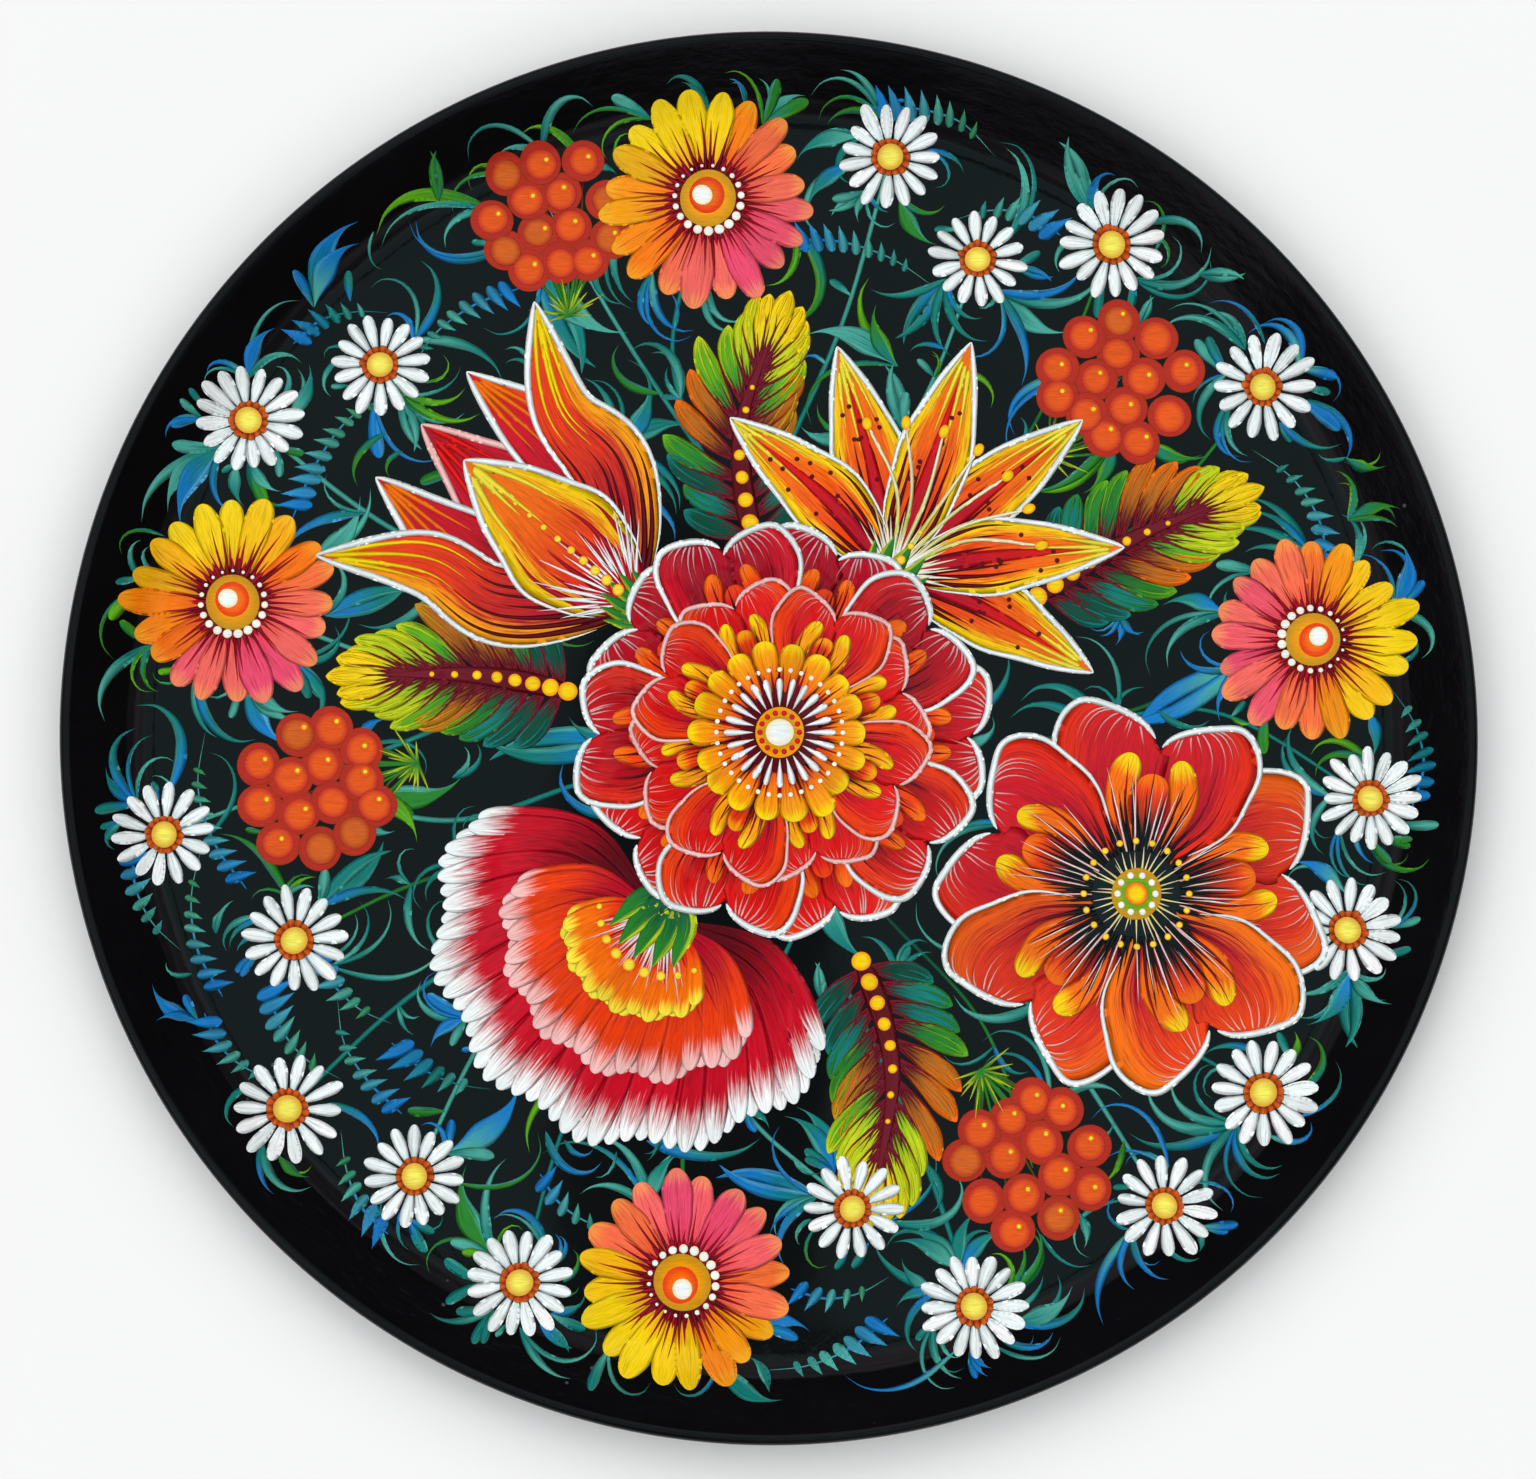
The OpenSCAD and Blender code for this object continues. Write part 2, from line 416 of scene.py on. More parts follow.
class Motif:
    """A part of the painting with a place, a size and a turn of its own

    Its lengths and widths are shares of its size, its angles start at its turn and its levels at its layer.
    """

    def __init__(self, piece, layer, centre, size, turn):
        self.piece = piece
        self.layer = layer
        self.centre = np.asarray(centre, float)
        self.size = size
        self.turn = turn

    def line(self, points, angle=0.0):
        """Points of the motif, turned by an angle, on the tray"""
        return turned(np.array(points) * self.size, self.turn + angle, self.centre)

    def spot(self, radius, angle):
        """A place on the tray at a distance and an angle from the motif's centre"""
        return polar(radius * self.size, self.turn + angle, self.centre)

    def lay(self, level, line, half_width, shape, inks, **more):
        """A stroke along a line on the tray"""
        return brush(self.layer + level, self.piece, line, half_width * self.size, shape, inks, **more)

    def brush(self, level, points, angle, half_width, shape, inks, **more):
        """A stroke through points of the motif, turned by an angle"""
        return self.lay(level, self.line(points, angle), half_width, shape, inks, **more)

    def rays(self, level, angles, inner, outer, half_width, shape, inks, jitter, **more):
        """Strokes that run out from the centre; inks may be a function of the angle"""
        for angle in angles:
            far = outer * rng.normal(1, jitter)
            turn = angle + rng.normal(0, 18 * jitter)
            colours = inks(angle) if callable(inks) else inks
            points = [(inner, 0), ((inner + far) / 2, 0), (far, 0)]
            self.brush(level, points, turn, half_width * rng.normal(1, 0.05), shape, colours, **more)

    def comb(self, level, angles, inner, outer, half_width, inks, spread, jitter=0.16):
        """Fine hairs of paint pulled out from the centre, of uneven length"""
        for angle in angles:
            far = inner + (outer - inner) * np.clip(rng.normal(0.85, jitter), 0.35, 1.15)
            turn = angle + rng.normal(0, spread)
            points = [(inner, 0), ((inner + far) / 2, rng.normal(0, 0.2) / self.size), (far, 0)]
            self.brush(level, points, turn, half_width * rng.uniform(0.75, 1.2), "hair", inks)

    def vein(self, level, track, v, start, end, half_width, inks, shape="hair"):
        """A thin stroke that follows a wider one at a place across it"""
        self.lay(level, track.along(v, start, end), half_width, shape, inks)

    def contour(self, level, track, side, start, half_width, tone, hook=0.0):
        """A pale line along one side of a stroke, thin at first, which may hook round the end and back"""
        back = np.linspace(1, 0, 30)
        line = track.place(1 - (1 - start) * back**2, np.full(30, 1.05 * side))
        if hook:
            on = np.linspace(0.2, 1, 6)
            line = np.vstack([line, track.place(1 - hook * on**2, np.full(6, -1.05 * side))])
        self.lay(level, line, half_width, "rim", (tone, tone), thin=0.1)

    def dot(self, level, radius, inks, spot=None, **more):
        """A dot at a place on the tray, or at the centre"""
        place = self.centre if spot is None else spot
        dot(self.layer + level, self.piece, place, radius * self.size, inks, **more)

    def dot_ring(self, level, count, reach, radius, inks, start=0.0, swell=0.0):
        """Dots round a circle, growing towards one side"""
        for angle in around(count, start):
            grow = 1 + swell * math.cos(math.radians(angle - start))
            self.dot(level, radius * grow, inks, self.spot(reach, angle))

    def dot_row(self, level, line, count, radius, inks, taper=0.6):
        """Dots along a line on the tray, smaller towards its end"""
        for k, spot in enumerate(curve_through(line, count)):
            self.dot(level, radius * (1 - taper * k / (count - 1)), inks, spot)


# Motifs
def lobed_petal(bloom, level, angle, inner, outer, half, body, flame, dark, outline, line_width):
    """Two strokes that meet in a notch, with flames over them, dark hairs at the root and a pale outline"""
    span = outer - inner

    def stroke(over, places, half_width, shape, inks, side=1, **more):
        points = [(inner + along * span, side * across * half) for along, across in places]
        return bloom.brush(level + over, points, angle, half_width * half, shape, inks, **more)

    stroke(-0.1, [(0, 0), (0.4, 0), (0.72, 0)], 0.34, "oval", body, blend=(0.3, 0.95), thin=0.2)
    light = mixed(body[2], outline, 0.45)
    skew = rng.normal(0, 0.022)
    for side, over in ((-1, 0.0), (1, 0.2)):
        grow = 1 + side * skew
        places = [(0, 0.08), (0.42 * grow, 0.40), (0.78 * grow, 0.47), (grow, 0.36)]
        lobe = stroke(over, places, 0.60, "lobe", body, side, edge=SIDES[side], blend=(0.32, 0.92), thin=0.2)
        bloom.contour(level + 1, lobe, side, 0.2, line_width, outline, hook=0.045)
        for v in (-0.6, -0.3, 0.0, 0.3, 0.6):
            far = rng.uniform(0.5, 0.82)
            bloom.vein(level + 0.6, lobe, side * v, 0.05, far, 0.013 * outer, (dark, body[0]))
        for v in np.linspace(-0.6, 0.75, 8):
            bloom.vein(level + 0.65, lobe, side * v + rng.normal(0, 0.05), 0.97, rng.uniform(0.60, 0.86),
                       0.0052 * outer, (light, body[2]))
        stroke(0.5, [(0, 0), (0.40, 0.34), (0.76, 0.26)], 0.155, "drop", flame, side, edge="end",
               blend=(0.15, 0.7), thin=0.25)
    stroke(0.7, [(0, 0), (0.35, 0), (0.64, 0)], 0.19, "drop", (dark, *flame[:2]), edge="end",
           blend=(0.3, 0.9), thin=0.2)
    lean = 0.66 * math.degrees(half / outer)
    bloom.comb(level + 0.8, between(angle - lean, angle + lean, 14), 0.85 * inner, inner + 0.62 * span,
               0.0125 * outer, (dark, dark), 0.9)


def peony(bloom):
    """A full face of lobed petals in two rings, a ring of flames and a beaded heart"""
    for parity in (0, 1):
        for angle in around(10)[parity::2]:
            warm = 0.5 - 0.5 * math.sin(math.radians(bloom.turn + angle))
            body = (MAROON, mixed(CRIMSON, SCARLET, warm), mixed(RUBY, VERMILION, warm))
            lobed_petal(bloom, 2 * parity, angle + rng.normal(0, 1.2), 0.34, rng.normal(0.99, 0.014), 0.325,
                        body, (SCARLET, VERMILION, ORANGE), SMOKE, WHITE, 0.0175)
    bloom.piece += "_heart"
    for parity in (0, 1):
        for angle in around(8, 20)[parity::2]:
            lobed_petal(bloom, 5 + 2 * parity, angle + rng.normal(0, 1.5), 0.22, 0.70 * rng.normal(1, 0.016),
                        0.275, (CRIMSON, SCARLET, VERMILION), (VERMILION, AMBER, YELLOW), MAROON * 0.6,
                        BLUSH, 0.0120)
    bloom.rays(9, around(18), 0.14, 0.45, 0.066, "drop", (VERMILION, AMBER, YELLOW), 0.03, edge="end",
               thin=0.15)
    bloom.comb(10, around(54), 0.14, 0.38, 0.010, (MAROON, CRIMSON), 1.5)
    bloom.dot(11, 0.20, (MAROON * 0.6, MAROON), height=0.05)
    bloom.rays(12, around(24), 0.13, 0.275, 0.0165, "drop", (WHITE, WHITE), 0.02)
    bloom.dot(12, 0.125, (OCHRE, AMBER), height=0.08)
    bloom.dot_ring(13, 14, 0.098, 0.014, (SCARLET, CRIMSON))
    bloom.dot(13, 0.070, (WHITE, CREAM), height=0.14)
    bloom.dot_ring(13, 36, 0.315, 0.0125, (WHITE, CREAM))


def mallow(bloom):
    """Five wide notched petals, fiery at the rim and dark at the root, with pale stamens"""
    for angle in around(5, 36):
        bloom.brush(0, [(0.3, 0), (0.62, 0.02), (0.94, 0)], angle, 0.12, "leaf", (PINE, GREEN, LEAF),
                    edge="left")
    for k, angle in enumerate(around(5)):
        warm = 0.5 + 0.5 * math.cos(math.radians(bloom.turn + angle - 300))
        body = (CRIMSON, mixed(RUBY, VERMILION, warm), mixed(SCARLET, ORANGE, warm))
        lobed_petal(bloom, 1 + 1.4 * k, angle + rng.normal(0, 1.8), 0.16, rng.normal(0.99, 0.016), 0.54,
                    body, (VERMILION, ORANGE, YELLOW), SMOKE, WHITE, 0.0200)
        bloom.comb(8.5, between(angle - 25, angle + 25, 9), 0.20, 0.74, 0.0065, (BLUSH, WHITE), 1.6)
    bloom.dot(9, 0.25, (SMOKE, SMOKE), height=0.02)
    bloom.comb(9, around(70), 0.20, 0.50, 0.013, (SMOKE, SMOKE), 2)
    bloom.comb(10, around(36), 0.04, 0.30, 0.009, (LEMON, CREAM), 2)
    bloom.dot_ring(11, 20, 0.30, 0.020, (LEMON, AMBER), -bloom.turn)
    bloom.dot(11, 0.145, (LEAF, OCHRE), height=0.08)
    bloom.dot_ring(12, 10, 0.108, 0.020, (WHITE, CREAM), -bloom.turn)
    bloom.dot(12, 0.066, (YELLOW, ORANGE), height=0.12)


def sepals(bloom, level, spread, count, back, middle, tip, bow, half_width):
    """A green cup at the foot of a flower that is seen from the side"""
    for angle in between(-spread, spread, count):
        bloom.brush(level, [(back, 0), (middle, bow * angle), (tip, 0)], angle, half_width, "leaf",
                    (PINE, GREEN, LIME), edge="left")


def carnation(bloom):
    """A fringed fan in three rows that opens out of a green cup"""
    scallops = 6
    rows = [
        (46, 82, 1.00, 0.050, (MAROON, RUBY, WHITE), 0.06),
        (34, 66, 0.72, 0.048, (CRIMSON, VERMILION, BLUSH), 0.06),
        (24, 50, 0.47, 0.044, (SCARLET, ORANGE, LEMON), 0.05),
    ]
    for number, (count, spread, far, wide, inks, wave) in enumerate(rows):
        fan = between(-spread, spread, count)
        for parity in (0, 1):
            for angle in fan[parity::2]:
                scallop = math.cos(math.radians(angle / spread * 90 * scallops)) ** 2
                outer = far * (1 - wave * scallop - 0.10 * (angle / spread) ** 2)
                points = [(0.06, 0), (0.5 * outer, 0.0022 * angle * outer), (outer, 0)]
                bloom.brush(4 * number + parity, points, angle, wide, "drop", inks, edge="end",
                            blend=(0.25, 0.75), thin=0.15)
        bloom.comb(4 * number + 2, fan, 0.10, 0.62 * far, 0.010, (MAROON, CRIMSON), 1.5)
    bloom.comb(12, between(-46, 46, 26), 0.05, 0.34, 0.010, (WHITE, BLUSH), 1.5)
    sepals(bloom, 13, 40, 5, -0.10, 0.06, 0.24, 0.0016, 0.052)
    for angle in between(-58, 58, 9):
        bloom.dot(14, 0.026 * (1 - 0.5 * abs(angle) / 58), (LEMON, AMBER), bloom.spot(0.27, angle))


def side_petal(bloom, level, points, angle, half, inks, outline, dark, light, line_width, edge):
    """A long petal with dark hairs from its root, light ones from its tip and a pale outline on each side"""
    petal = bloom.brush(level, points, angle, half, "leaf", inks, edge=edge, blend=(0.15, 0.8), thin=0.2)
    for v in np.linspace(-0.8, 0.8, 7):
        bloom.vein(level + 0.4, petal, v + rng.normal(0, 0.04), 0.04, rng.uniform(0.38, 0.62),
                   0.085 * half + 0.12 / bloom.size, (dark, dark))
    for v in np.linspace(-0.55, 0.55, 4):
        bloom.vein(level + 0.5, petal, v + rng.normal(0, 0.06), rng.uniform(0.88, 0.985),
                   rng.uniform(0.5, 0.66), 0.07 * half + 0.10 / bloom.size, (light, light))
    for side in (-1, 1):
        bloom.contour(level + 0.7, petal, side, 0.12, line_width, outline)
    return petal


def tulip(bloom):
    """A cup of pointed petals seen from the side, with combed white strokes at its foot"""
    petals = [
        (0, (0,), [(0.02, 0), (0.5, 0), (1.0, 0)], 0.175,
         (MAROON, CRIMSON, RUBY), BLUSH, MAROON * 0.5, SCARLET),
        (1, (-1, 1), [(0, 0), (0.45, 0.23), (1.0, 0.25)], 0.155,
         (MAROON, RUBY, VERMILION), WHITE, MAROON * 0.5, ORANGE),
        (3, (-1, 1), [(0, 0), (0.36, 0.31), (0.66, 0.37), (0.98, 0.60)], 0.135,
         (CRIMSON, VERMILION, AMBER), WHITE, MAROON, YELLOW),
        (5, (0,), [(-0.02, 0), (0.4, 0), (0.80, 0)], 0.205,
         (SCARLET, ORANGE, YELLOW), WHITE, CRIMSON, LEMON),
    ]
    for level, sides, places, half, *tones in petals:
        for side in sides:
            points = [(along, side * across) for along, across in places]
            side_petal(bloom, level + 0.1 * side, points, 0, half, *tones, 0.0125, SIDES[side])
    bloom.comb(6, between(-52, 52, 40), 0.0, 0.36, 0.0085, (WHITE, WHITE), 1.2)
    bloom.comb(7, between(-46, 46, 26), 0.0, 0.20, 0.0085, (CRIMSON, RUBY), 1.2)
    sepals(bloom, 8, 66, 7, -0.10, 0.02, 0.13, 0.0010, 0.028)
    bloom.dot_row(9, bloom.line([(0.08, 0), (0.3, 0), (0.56, 0)]), 9, 0.022, (LEMON, AMBER))


def lily(bloom):
    """An open trumpet of long petals with freckles and beaded stamens"""
    for parity in (0, 1):
        for k, angle in enumerate(between(-78, 78, 6)[parity::2]):
            far = 1.0 - 0.0018 * abs(angle)
            level = 2 * parity + 0.1 * k
            points = [(0.02, 0), (0.45 * far, 0.0006 * angle), (far, 0.0024 * angle)]
            petal = side_petal(bloom, level, points, 0.88 * angle, 0.135, (VERMILION, ORANGE, YELLOW), WHITE,
                               MAROON, LEMON, 0.0115, "both")
            bloom.vein(level + 0.6, petal, 0.0, 0.05, 0.86, 0.030, (CRIMSON, SCARLET), "blade")
            for speck in range(9):
                spot = petal.place(rng.uniform(0.36, 0.74), rng.uniform(-0.65, 0.65))
                bloom.dot(level + 0.8, 0.0095, (MAROON, MAROON), spot)
    for angle in between(-44, 44, 7):
        tip = bloom.spot(0.60, angle)
        bloom.lay(6, [bloom.centre, bloom.spot(0.32, 0.7 * angle), tip], 0.0085, "line", (LIME, CREAM))
        bloom.dot(7, 0.028, (YELLOW, AMBER), tip, oval=0.7, turn=bloom.turn + angle)
    bloom.comb(6.5, between(-68, 68, 34), 0.0, 0.26, 0.0090, (WHITE, CREAM), 1.4)
    sepals(bloom, 8, 60, 5, -0.14, 0.02, 0.15, 0.0012, 0.038)
    bloom.dot_row(9, bloom.line([(0, 0), (0.1, 0), (0.2, 0)]), 4, 0.024, (LEMON, AMBER))


def zinnia(bloom):
    """Pairs of drop strokes that run from yellow on one side to pink on the other"""
    wheel = [YELLOW, YELLOW, AMBER, ORANGE, CORAL, PINK, PINK, CORAL, ORANGE, YELLOW]
    pairs = 10

    def petal_inks(angle):
        place = (angle + rng.normal(0, 14)) % 360 / 360 * len(wheel)
        k = int(place) % len(wheel)
        tone = mixed(wheel[k], wheel[(k + 1) % len(wheel)], place % 1)
        return mixed(tone, SCARLET, 0.45), tone, mixed(tone, LEMON, 0.2)

    angles = [angle + side * 8.0 for angle in around(pairs) for side in (-1, 1)]
    for parity in (0, 1):
        bloom.rays(parity, angles[parity::2], 0.16, 0.98, 0.136, "oval", petal_inks, 0.035, edge="end",
                   blend=(0.15, 0.6), thin=0.26)
    bloom.comb(2, around(5 * pairs), 0.20, 0.74, 0.020, (MAROON, CRIMSON), 1.2, jitter=0.2)
    bloom.rays(2, around(4 * pairs), 0.16, 0.42, 0.030, "leaf", (MAROON, CRIMSON), 0.04)
    bloom.dot(3, 0.262, (AMBER, OCHRE), height=0.06, blend=(0.5, 1.0))
    bloom.dot(4, 0.165, (ORANGE, VERMILION), bloom.spot(0.03, 0), height=0.06)
    bloom.dot(5, 0.094, (WHITE, CREAM), bloom.spot(0.06, 40))
    bloom.dot_ring(4, 19, 0.305, 0.030, (WHITE, CREAM), start=180, swell=0.5)


def chamomile(bloom):
    """A small white flower of single drop strokes with a golden middle"""
    bloom.rays(0, around(rng.integers(14, 17)), 0.24, 1.0, 0.128, "oval", (MIST, WHITE, WHITE), 0.04,
               blend=(0.0, 0.45), thin=0.24)
    bloom.rays(1, around(15), 0.16, 0.385, 0.086, "oval", (RUST, COPPER, BERRY), 0.04,
               blend=(0.3, 0.9), thin=0.2)
    bloom.dot(2, 0.26, (HONEY, GOLD), blend=(0.3, 1.05), height=0.16)


def rowan(bunch):
    """A close bunch of berries on its stalks, each a dark disc under a bright one, most with a highlight"""
    berries = [(0.37, -30), (0.35, 2), (0.38, 33), (0.57, -37), (0.57, -13), (0.57, 11), (0.58, 35),
               (0.79, -27), (0.79, -9), (0.79, 9), (0.80, 27), (1.0, -15), (1.01, 0), (0.99, 15)]
    spots = [bunch.spot(reach + rng.normal(0, 0.012), angle + rng.normal(0, 1.2))
             for reach, angle in berries]
    big = 0.117
    for spot in spots:
        shift = rng.normal(0, 0.04, 2) * big * bunch.size
        bunch.dot(0, 1.17 * big, (GLAZE, RUST), spot + shift, height=0.01, blend=(0.6, 1.1))
        knee = (bunch.centre + spot) / 2 + rng.normal(0, 0.02, 2) * bunch.size
        bunch.lay(-0.1, [bunch.centre, knee, spot], 0.010, "line", (GREEN, MAROON))
    for count, spread, far in ((9, 100, 0.17), (5, 70, 0.23)):
        bunch.rays(5, between(-spread, spread, count), -0.02, far, 0.015, "hair", (GREEN, LIME), 0.12)
    for k, spot in enumerate(spots):
        radius = big * rng.uniform(0.93, 1.05)
        level = 1 + 0.02 * k
        tones = (BERRY, GLAZE) if rng.random() < 0.78 else (COPPER, RUST)
        bunch.dot(level, 0.86 * radius, tones, spot, height=0.04, blend=(0.55, 1.08))
        if rng.random() < 0.2:
            continue
        glint = spot + radius * bunch.size * (np.array([0.24, 0.3]) + rng.normal(0, 0.07, 2))
        bunch.dot(level + 0.5, 0.26 * radius, (ORANGE, BERRY), glint, height=0.01, blend=(0.1, 1.0))
        bunch.dot(level + 1, 0.12 * radius, (LEMON, YELLOW), glint)


def comb_leaf(leaf, line):
    """A leaf of broad drops, dark at its foot and yellow at its tip, on a wine-red rib with beads along it

    It lies along a line on the tray, and its size is about half its width.
    """
    rib = curve_through(line, 60)
    way = headings(rib)
    tones = [(PINE, PINE, TEAL), (PINE, TEAL, GREEN), (PINE, GREEN, LEAF), (BROWN, BRONZE, OCHRE),
             (BROWN, BRONZE, ORANGE), (GREEN, LEAF, LIME), (LEAF, LIME, LIME), (LIME, LIME, YELLOW)]
    pairs = 10
    drops = []
    for k in range(pairs):
        f = k / (pairs - 1)
        at = int(3 + 45 * f)
        reach = 0.70 + 0.46 * math.sin(math.pi * (0.12 + 0.72 * f))
        places = [np.clip(f * len(tones) + rng.normal(0, 0.5), 0, len(tones) - 1) for side in (-1, 1)]
        for side, place in zip((-1, 1), places):
            turn = bearing(way[at]) + side * (68 - 40 * f) + rng.normal(0, 2.5)
            drops.append((rib[at], turn, reach * rng.uniform(0.92, 1.08), -20 * side, tones[int(place)]))
    for side in (-1, 1, 0):
        drops.append((rib[50], bearing(way[50]) + 17 * side, 1.0 - 0.1 * abs(side), -8 * side,
                      (LIME, YELLOW, YELLOW)))
    for k, (root, turn, reach, curl, inks) in enumerate(drops):
        spine = arched(root, turn, 1.1 * reach * leaf.size, curl)
        drop = leaf.lay(0.5 + 0.02 * k, spine, 0.152, "tooth", inks, edge="rim", blend=(0.1, 0.7), thin=0.3)
        for v in (-0.4, 0.35):
            leaf.vein(1.0, drop, v + rng.normal(0, 0.1), 0.95, rng.uniform(0.35, 0.6), 0.020, inks[2:] * 2)
        for v, far in ((-1.0, 0.72), (-0.45, 0.5), (0.1, 0.42), (0.6, 0.5), (1.0, 0.72)):
            leaf.vein(1.2, drop, v, 0.0, far * rng.uniform(0.75, 1.1), 0.023, (WINE, WINE))
    leaf.lay(1.4, [rib[0], rib[18], rib[36], rib[-1]], 0.15, "comma", (MAROON, WINE, WINE))
    leaf.dot_row(2, [rib[1], rib[15], rib[29], rib[44]], 8, 0.128, (YELLOW, AMBER), taper=0.72)


# Sprigs and ferns that fill the black between the motifs
TONES = [
    [(TEAL, SEA, SEA), (TEAL, TEAL, SEA), (BLUE, TEAL, SEA), (SEA, TEAL, SEA)],
    [(BLUE, BLUE, SKY), (TEAL, BLUE, SKY), (SEA, BLUE, BLUE), (TEAL, SEA, SEA)],
    [(GREEN, LEAF, LEAF), (TEAL, GREEN, LEAF), (GREEN, GREEN, SEA), (TEAL, SEA, SEA)],
]
TONE_SHARES = [0.46, 0.28, 0.26]
STEM_TONES = [(TEAL, SEA), (TEAL, TEAL), (PINE, GREEN)]
FERN_TONES = [(BLUE, TEAL, SEA), (BLUE, SEA, GREEN), (BLUE, SEA, TEAL)]
MIDDLE_LEAVES = ["split", "bulb", "whip"]
SIDE_LEAVES = ["whip", "whip", "whip", "hair", "hair", "bulb", "drop"]
# Sizes in millimetres; of a pair of them, a value between is drawn for each
STEM_HALF_WIDTH = (0.55, 0.85)
SHOOT_SIZE = 20
FERN_STEP = 4.4
FERN_REACH = (118, 161)
FERN_LENGTH = (24, 46)
FERN_HALF_WIDTH = (4.4, 6.4)
FERN_MARGIN = 0.4
# How many ferns, how many tries to place them, and the share of each that may lie under motifs
FERN_COUNT = 20
FERN_TRIES = 4000
FERN_HIDDEN = 0.25
# How sprigs shrink from round to round, and a small leaf from try to try
SPRIG_ROUNDS = (1.1, 0.85, 0.65)
LEAF_TRIES = (1.0, 0.78, 0.58)
# Size of a sprig in a gap: what each millimetre of the gap gives, and its most
GAP_SHARE = 2.4
MOST_GAP_SIZE = 24


class Space:
    """Which cells of the face hold motifs, and which hold leaves"""

    def __init__(self):
        self.count = int(2 * TRAY_RADIUS / FREE_CELL) + 1
        self.motifs, self.leaves = np.zeros((2, self.count, self.count), bool)

    def cells(self, xy):
        return tuple(np.clip(((np.asarray(xy) + TRAY_RADIUS) / FREE_CELL).astype(int), 0, self.count - 1).T)

    def free(self, xy, hidden):
        """Whether leaves fit on these points, with at most a share of them hidden under motifs"""
        spots = self.cells(xy)
        inside = np.hypot(*np.asarray(xy).T).max() < PAINT_LIMIT
        return inside and self.leaves[spots].mean() <= LEAF_OVERLAP and self.motifs[spots].mean() <= hidden


def band(points, half_width, first=0):
    """Points in five rows over a strip along a line, at its 24 places from the first that counts"""
    line = curve_through(points, 24)
    side = left_of(headings(line)) * half_width
    return np.stack([line + side * k for k in (-1, -0.5, 0, 0.5, 1)])[:, first:].reshape(-1, 2)


def leaf_lines(kind, root, turn, length, side):
    """The strokes of one small leaf: their lines, half widths and shapes"""
    if kind == "split":
        return [(arched(root, turn + 13 * s, length, -40 * s), 0.058 * length + 0.3, "leaf")
                for s in (-1, 1)]
    if kind == "bulb":
        return [(arched(root, turn - 10 * side, length, 56 * side), 0.105 * length + 0.3, "bulb")]
    if kind == "drop":
        return [(arched(root, turn, 0.55 * length, 14 * side), 0.06 * length + 0.3, "oval")]
    if kind == "hair":
        curl = side * rng.uniform(70, 150)
        return [(arched(root, turn, 1.2 * length, curl), 0.016 * length + 0.28, "whip")]
    curl = side * rng.uniform(50, 125)
    return [(arched(root, turn, 1.12 * length, curl), 0.042 * length + 0.34, "whip")]


def sprig(space, root, turn, size, count):
    """Small leaves that open to both sides of a middle one, each only where there is room for it"""
    tones = TONES[rng.choice(3, p=TONE_SHARES)]
    taken = []
    for k in range(count):
        offset = (k + 1) // 2 * (1 if k % 2 else -1)
        side = np.sign(offset) or rng.choice([-1, 1])
        kind = rng.choice(SIDE_LEAVES if k else MIDDLE_LEAVES)
        length = size * (1.05 - 0.10 * abs(offset)) * rng.uniform(0.85, 1.12)
        angle = turn + 15 * offset + rng.normal(0, 3)
        inks = tones[rng.integers(len(tones))]
        for shrink in LEAF_TRIES:
            lines = leaf_lines(kind, root, angle, length * shrink, side)
            strips = [band(line, half + LEAF_GAP, TEST_FROM) for line, half, shape in lines]
            if all(space.free(strip, LEAF_HIDDEN) for strip in strips):
                for line, half, shape in lines:
                    brush(BLADE_LAYER + 0.0001 * len(strokes), "painted_blades", line, half, shape, inks,
                          edge=SIDES[side], blend=(0.1, 0.7), thin=0.2)
                    taken.append(band(line, half, TAKE_FROM))
                break
    for strip in taken:
        space.leaves[space.cells(strip)] = True


def widest_gaps(space):
    """Black spots from the widest gap down: the gap to the nearest paint, the spot and that paint's place"""
    taken = np.argwhere((space.motifs | space.leaves)[::2, ::2]) * 2 * FREE_CELL - TRAY_RADIUS
    tree = KDTree(len(taken))
    for k, (x, y) in enumerate(taken):
        tree.insert((x, y, 0), k)
    tree.balance()
    line = np.arange(-PAINT_LIMIT, PAINT_LIMIT, GAP_STEP)
    spots = np.stack(np.meshgrid(line, line), -1).reshape(-1, 2)
    gaps = []
    for spot in spots[np.hypot(*spots.T) < PAINT_LIMIT - GAP_STEP]:
        near, index, gap = tree.find((*spot, 0))
        gaps.append((gap, spot, np.array(near[:2])))
    return sorted(gaps, key=lambda found: -found[0])


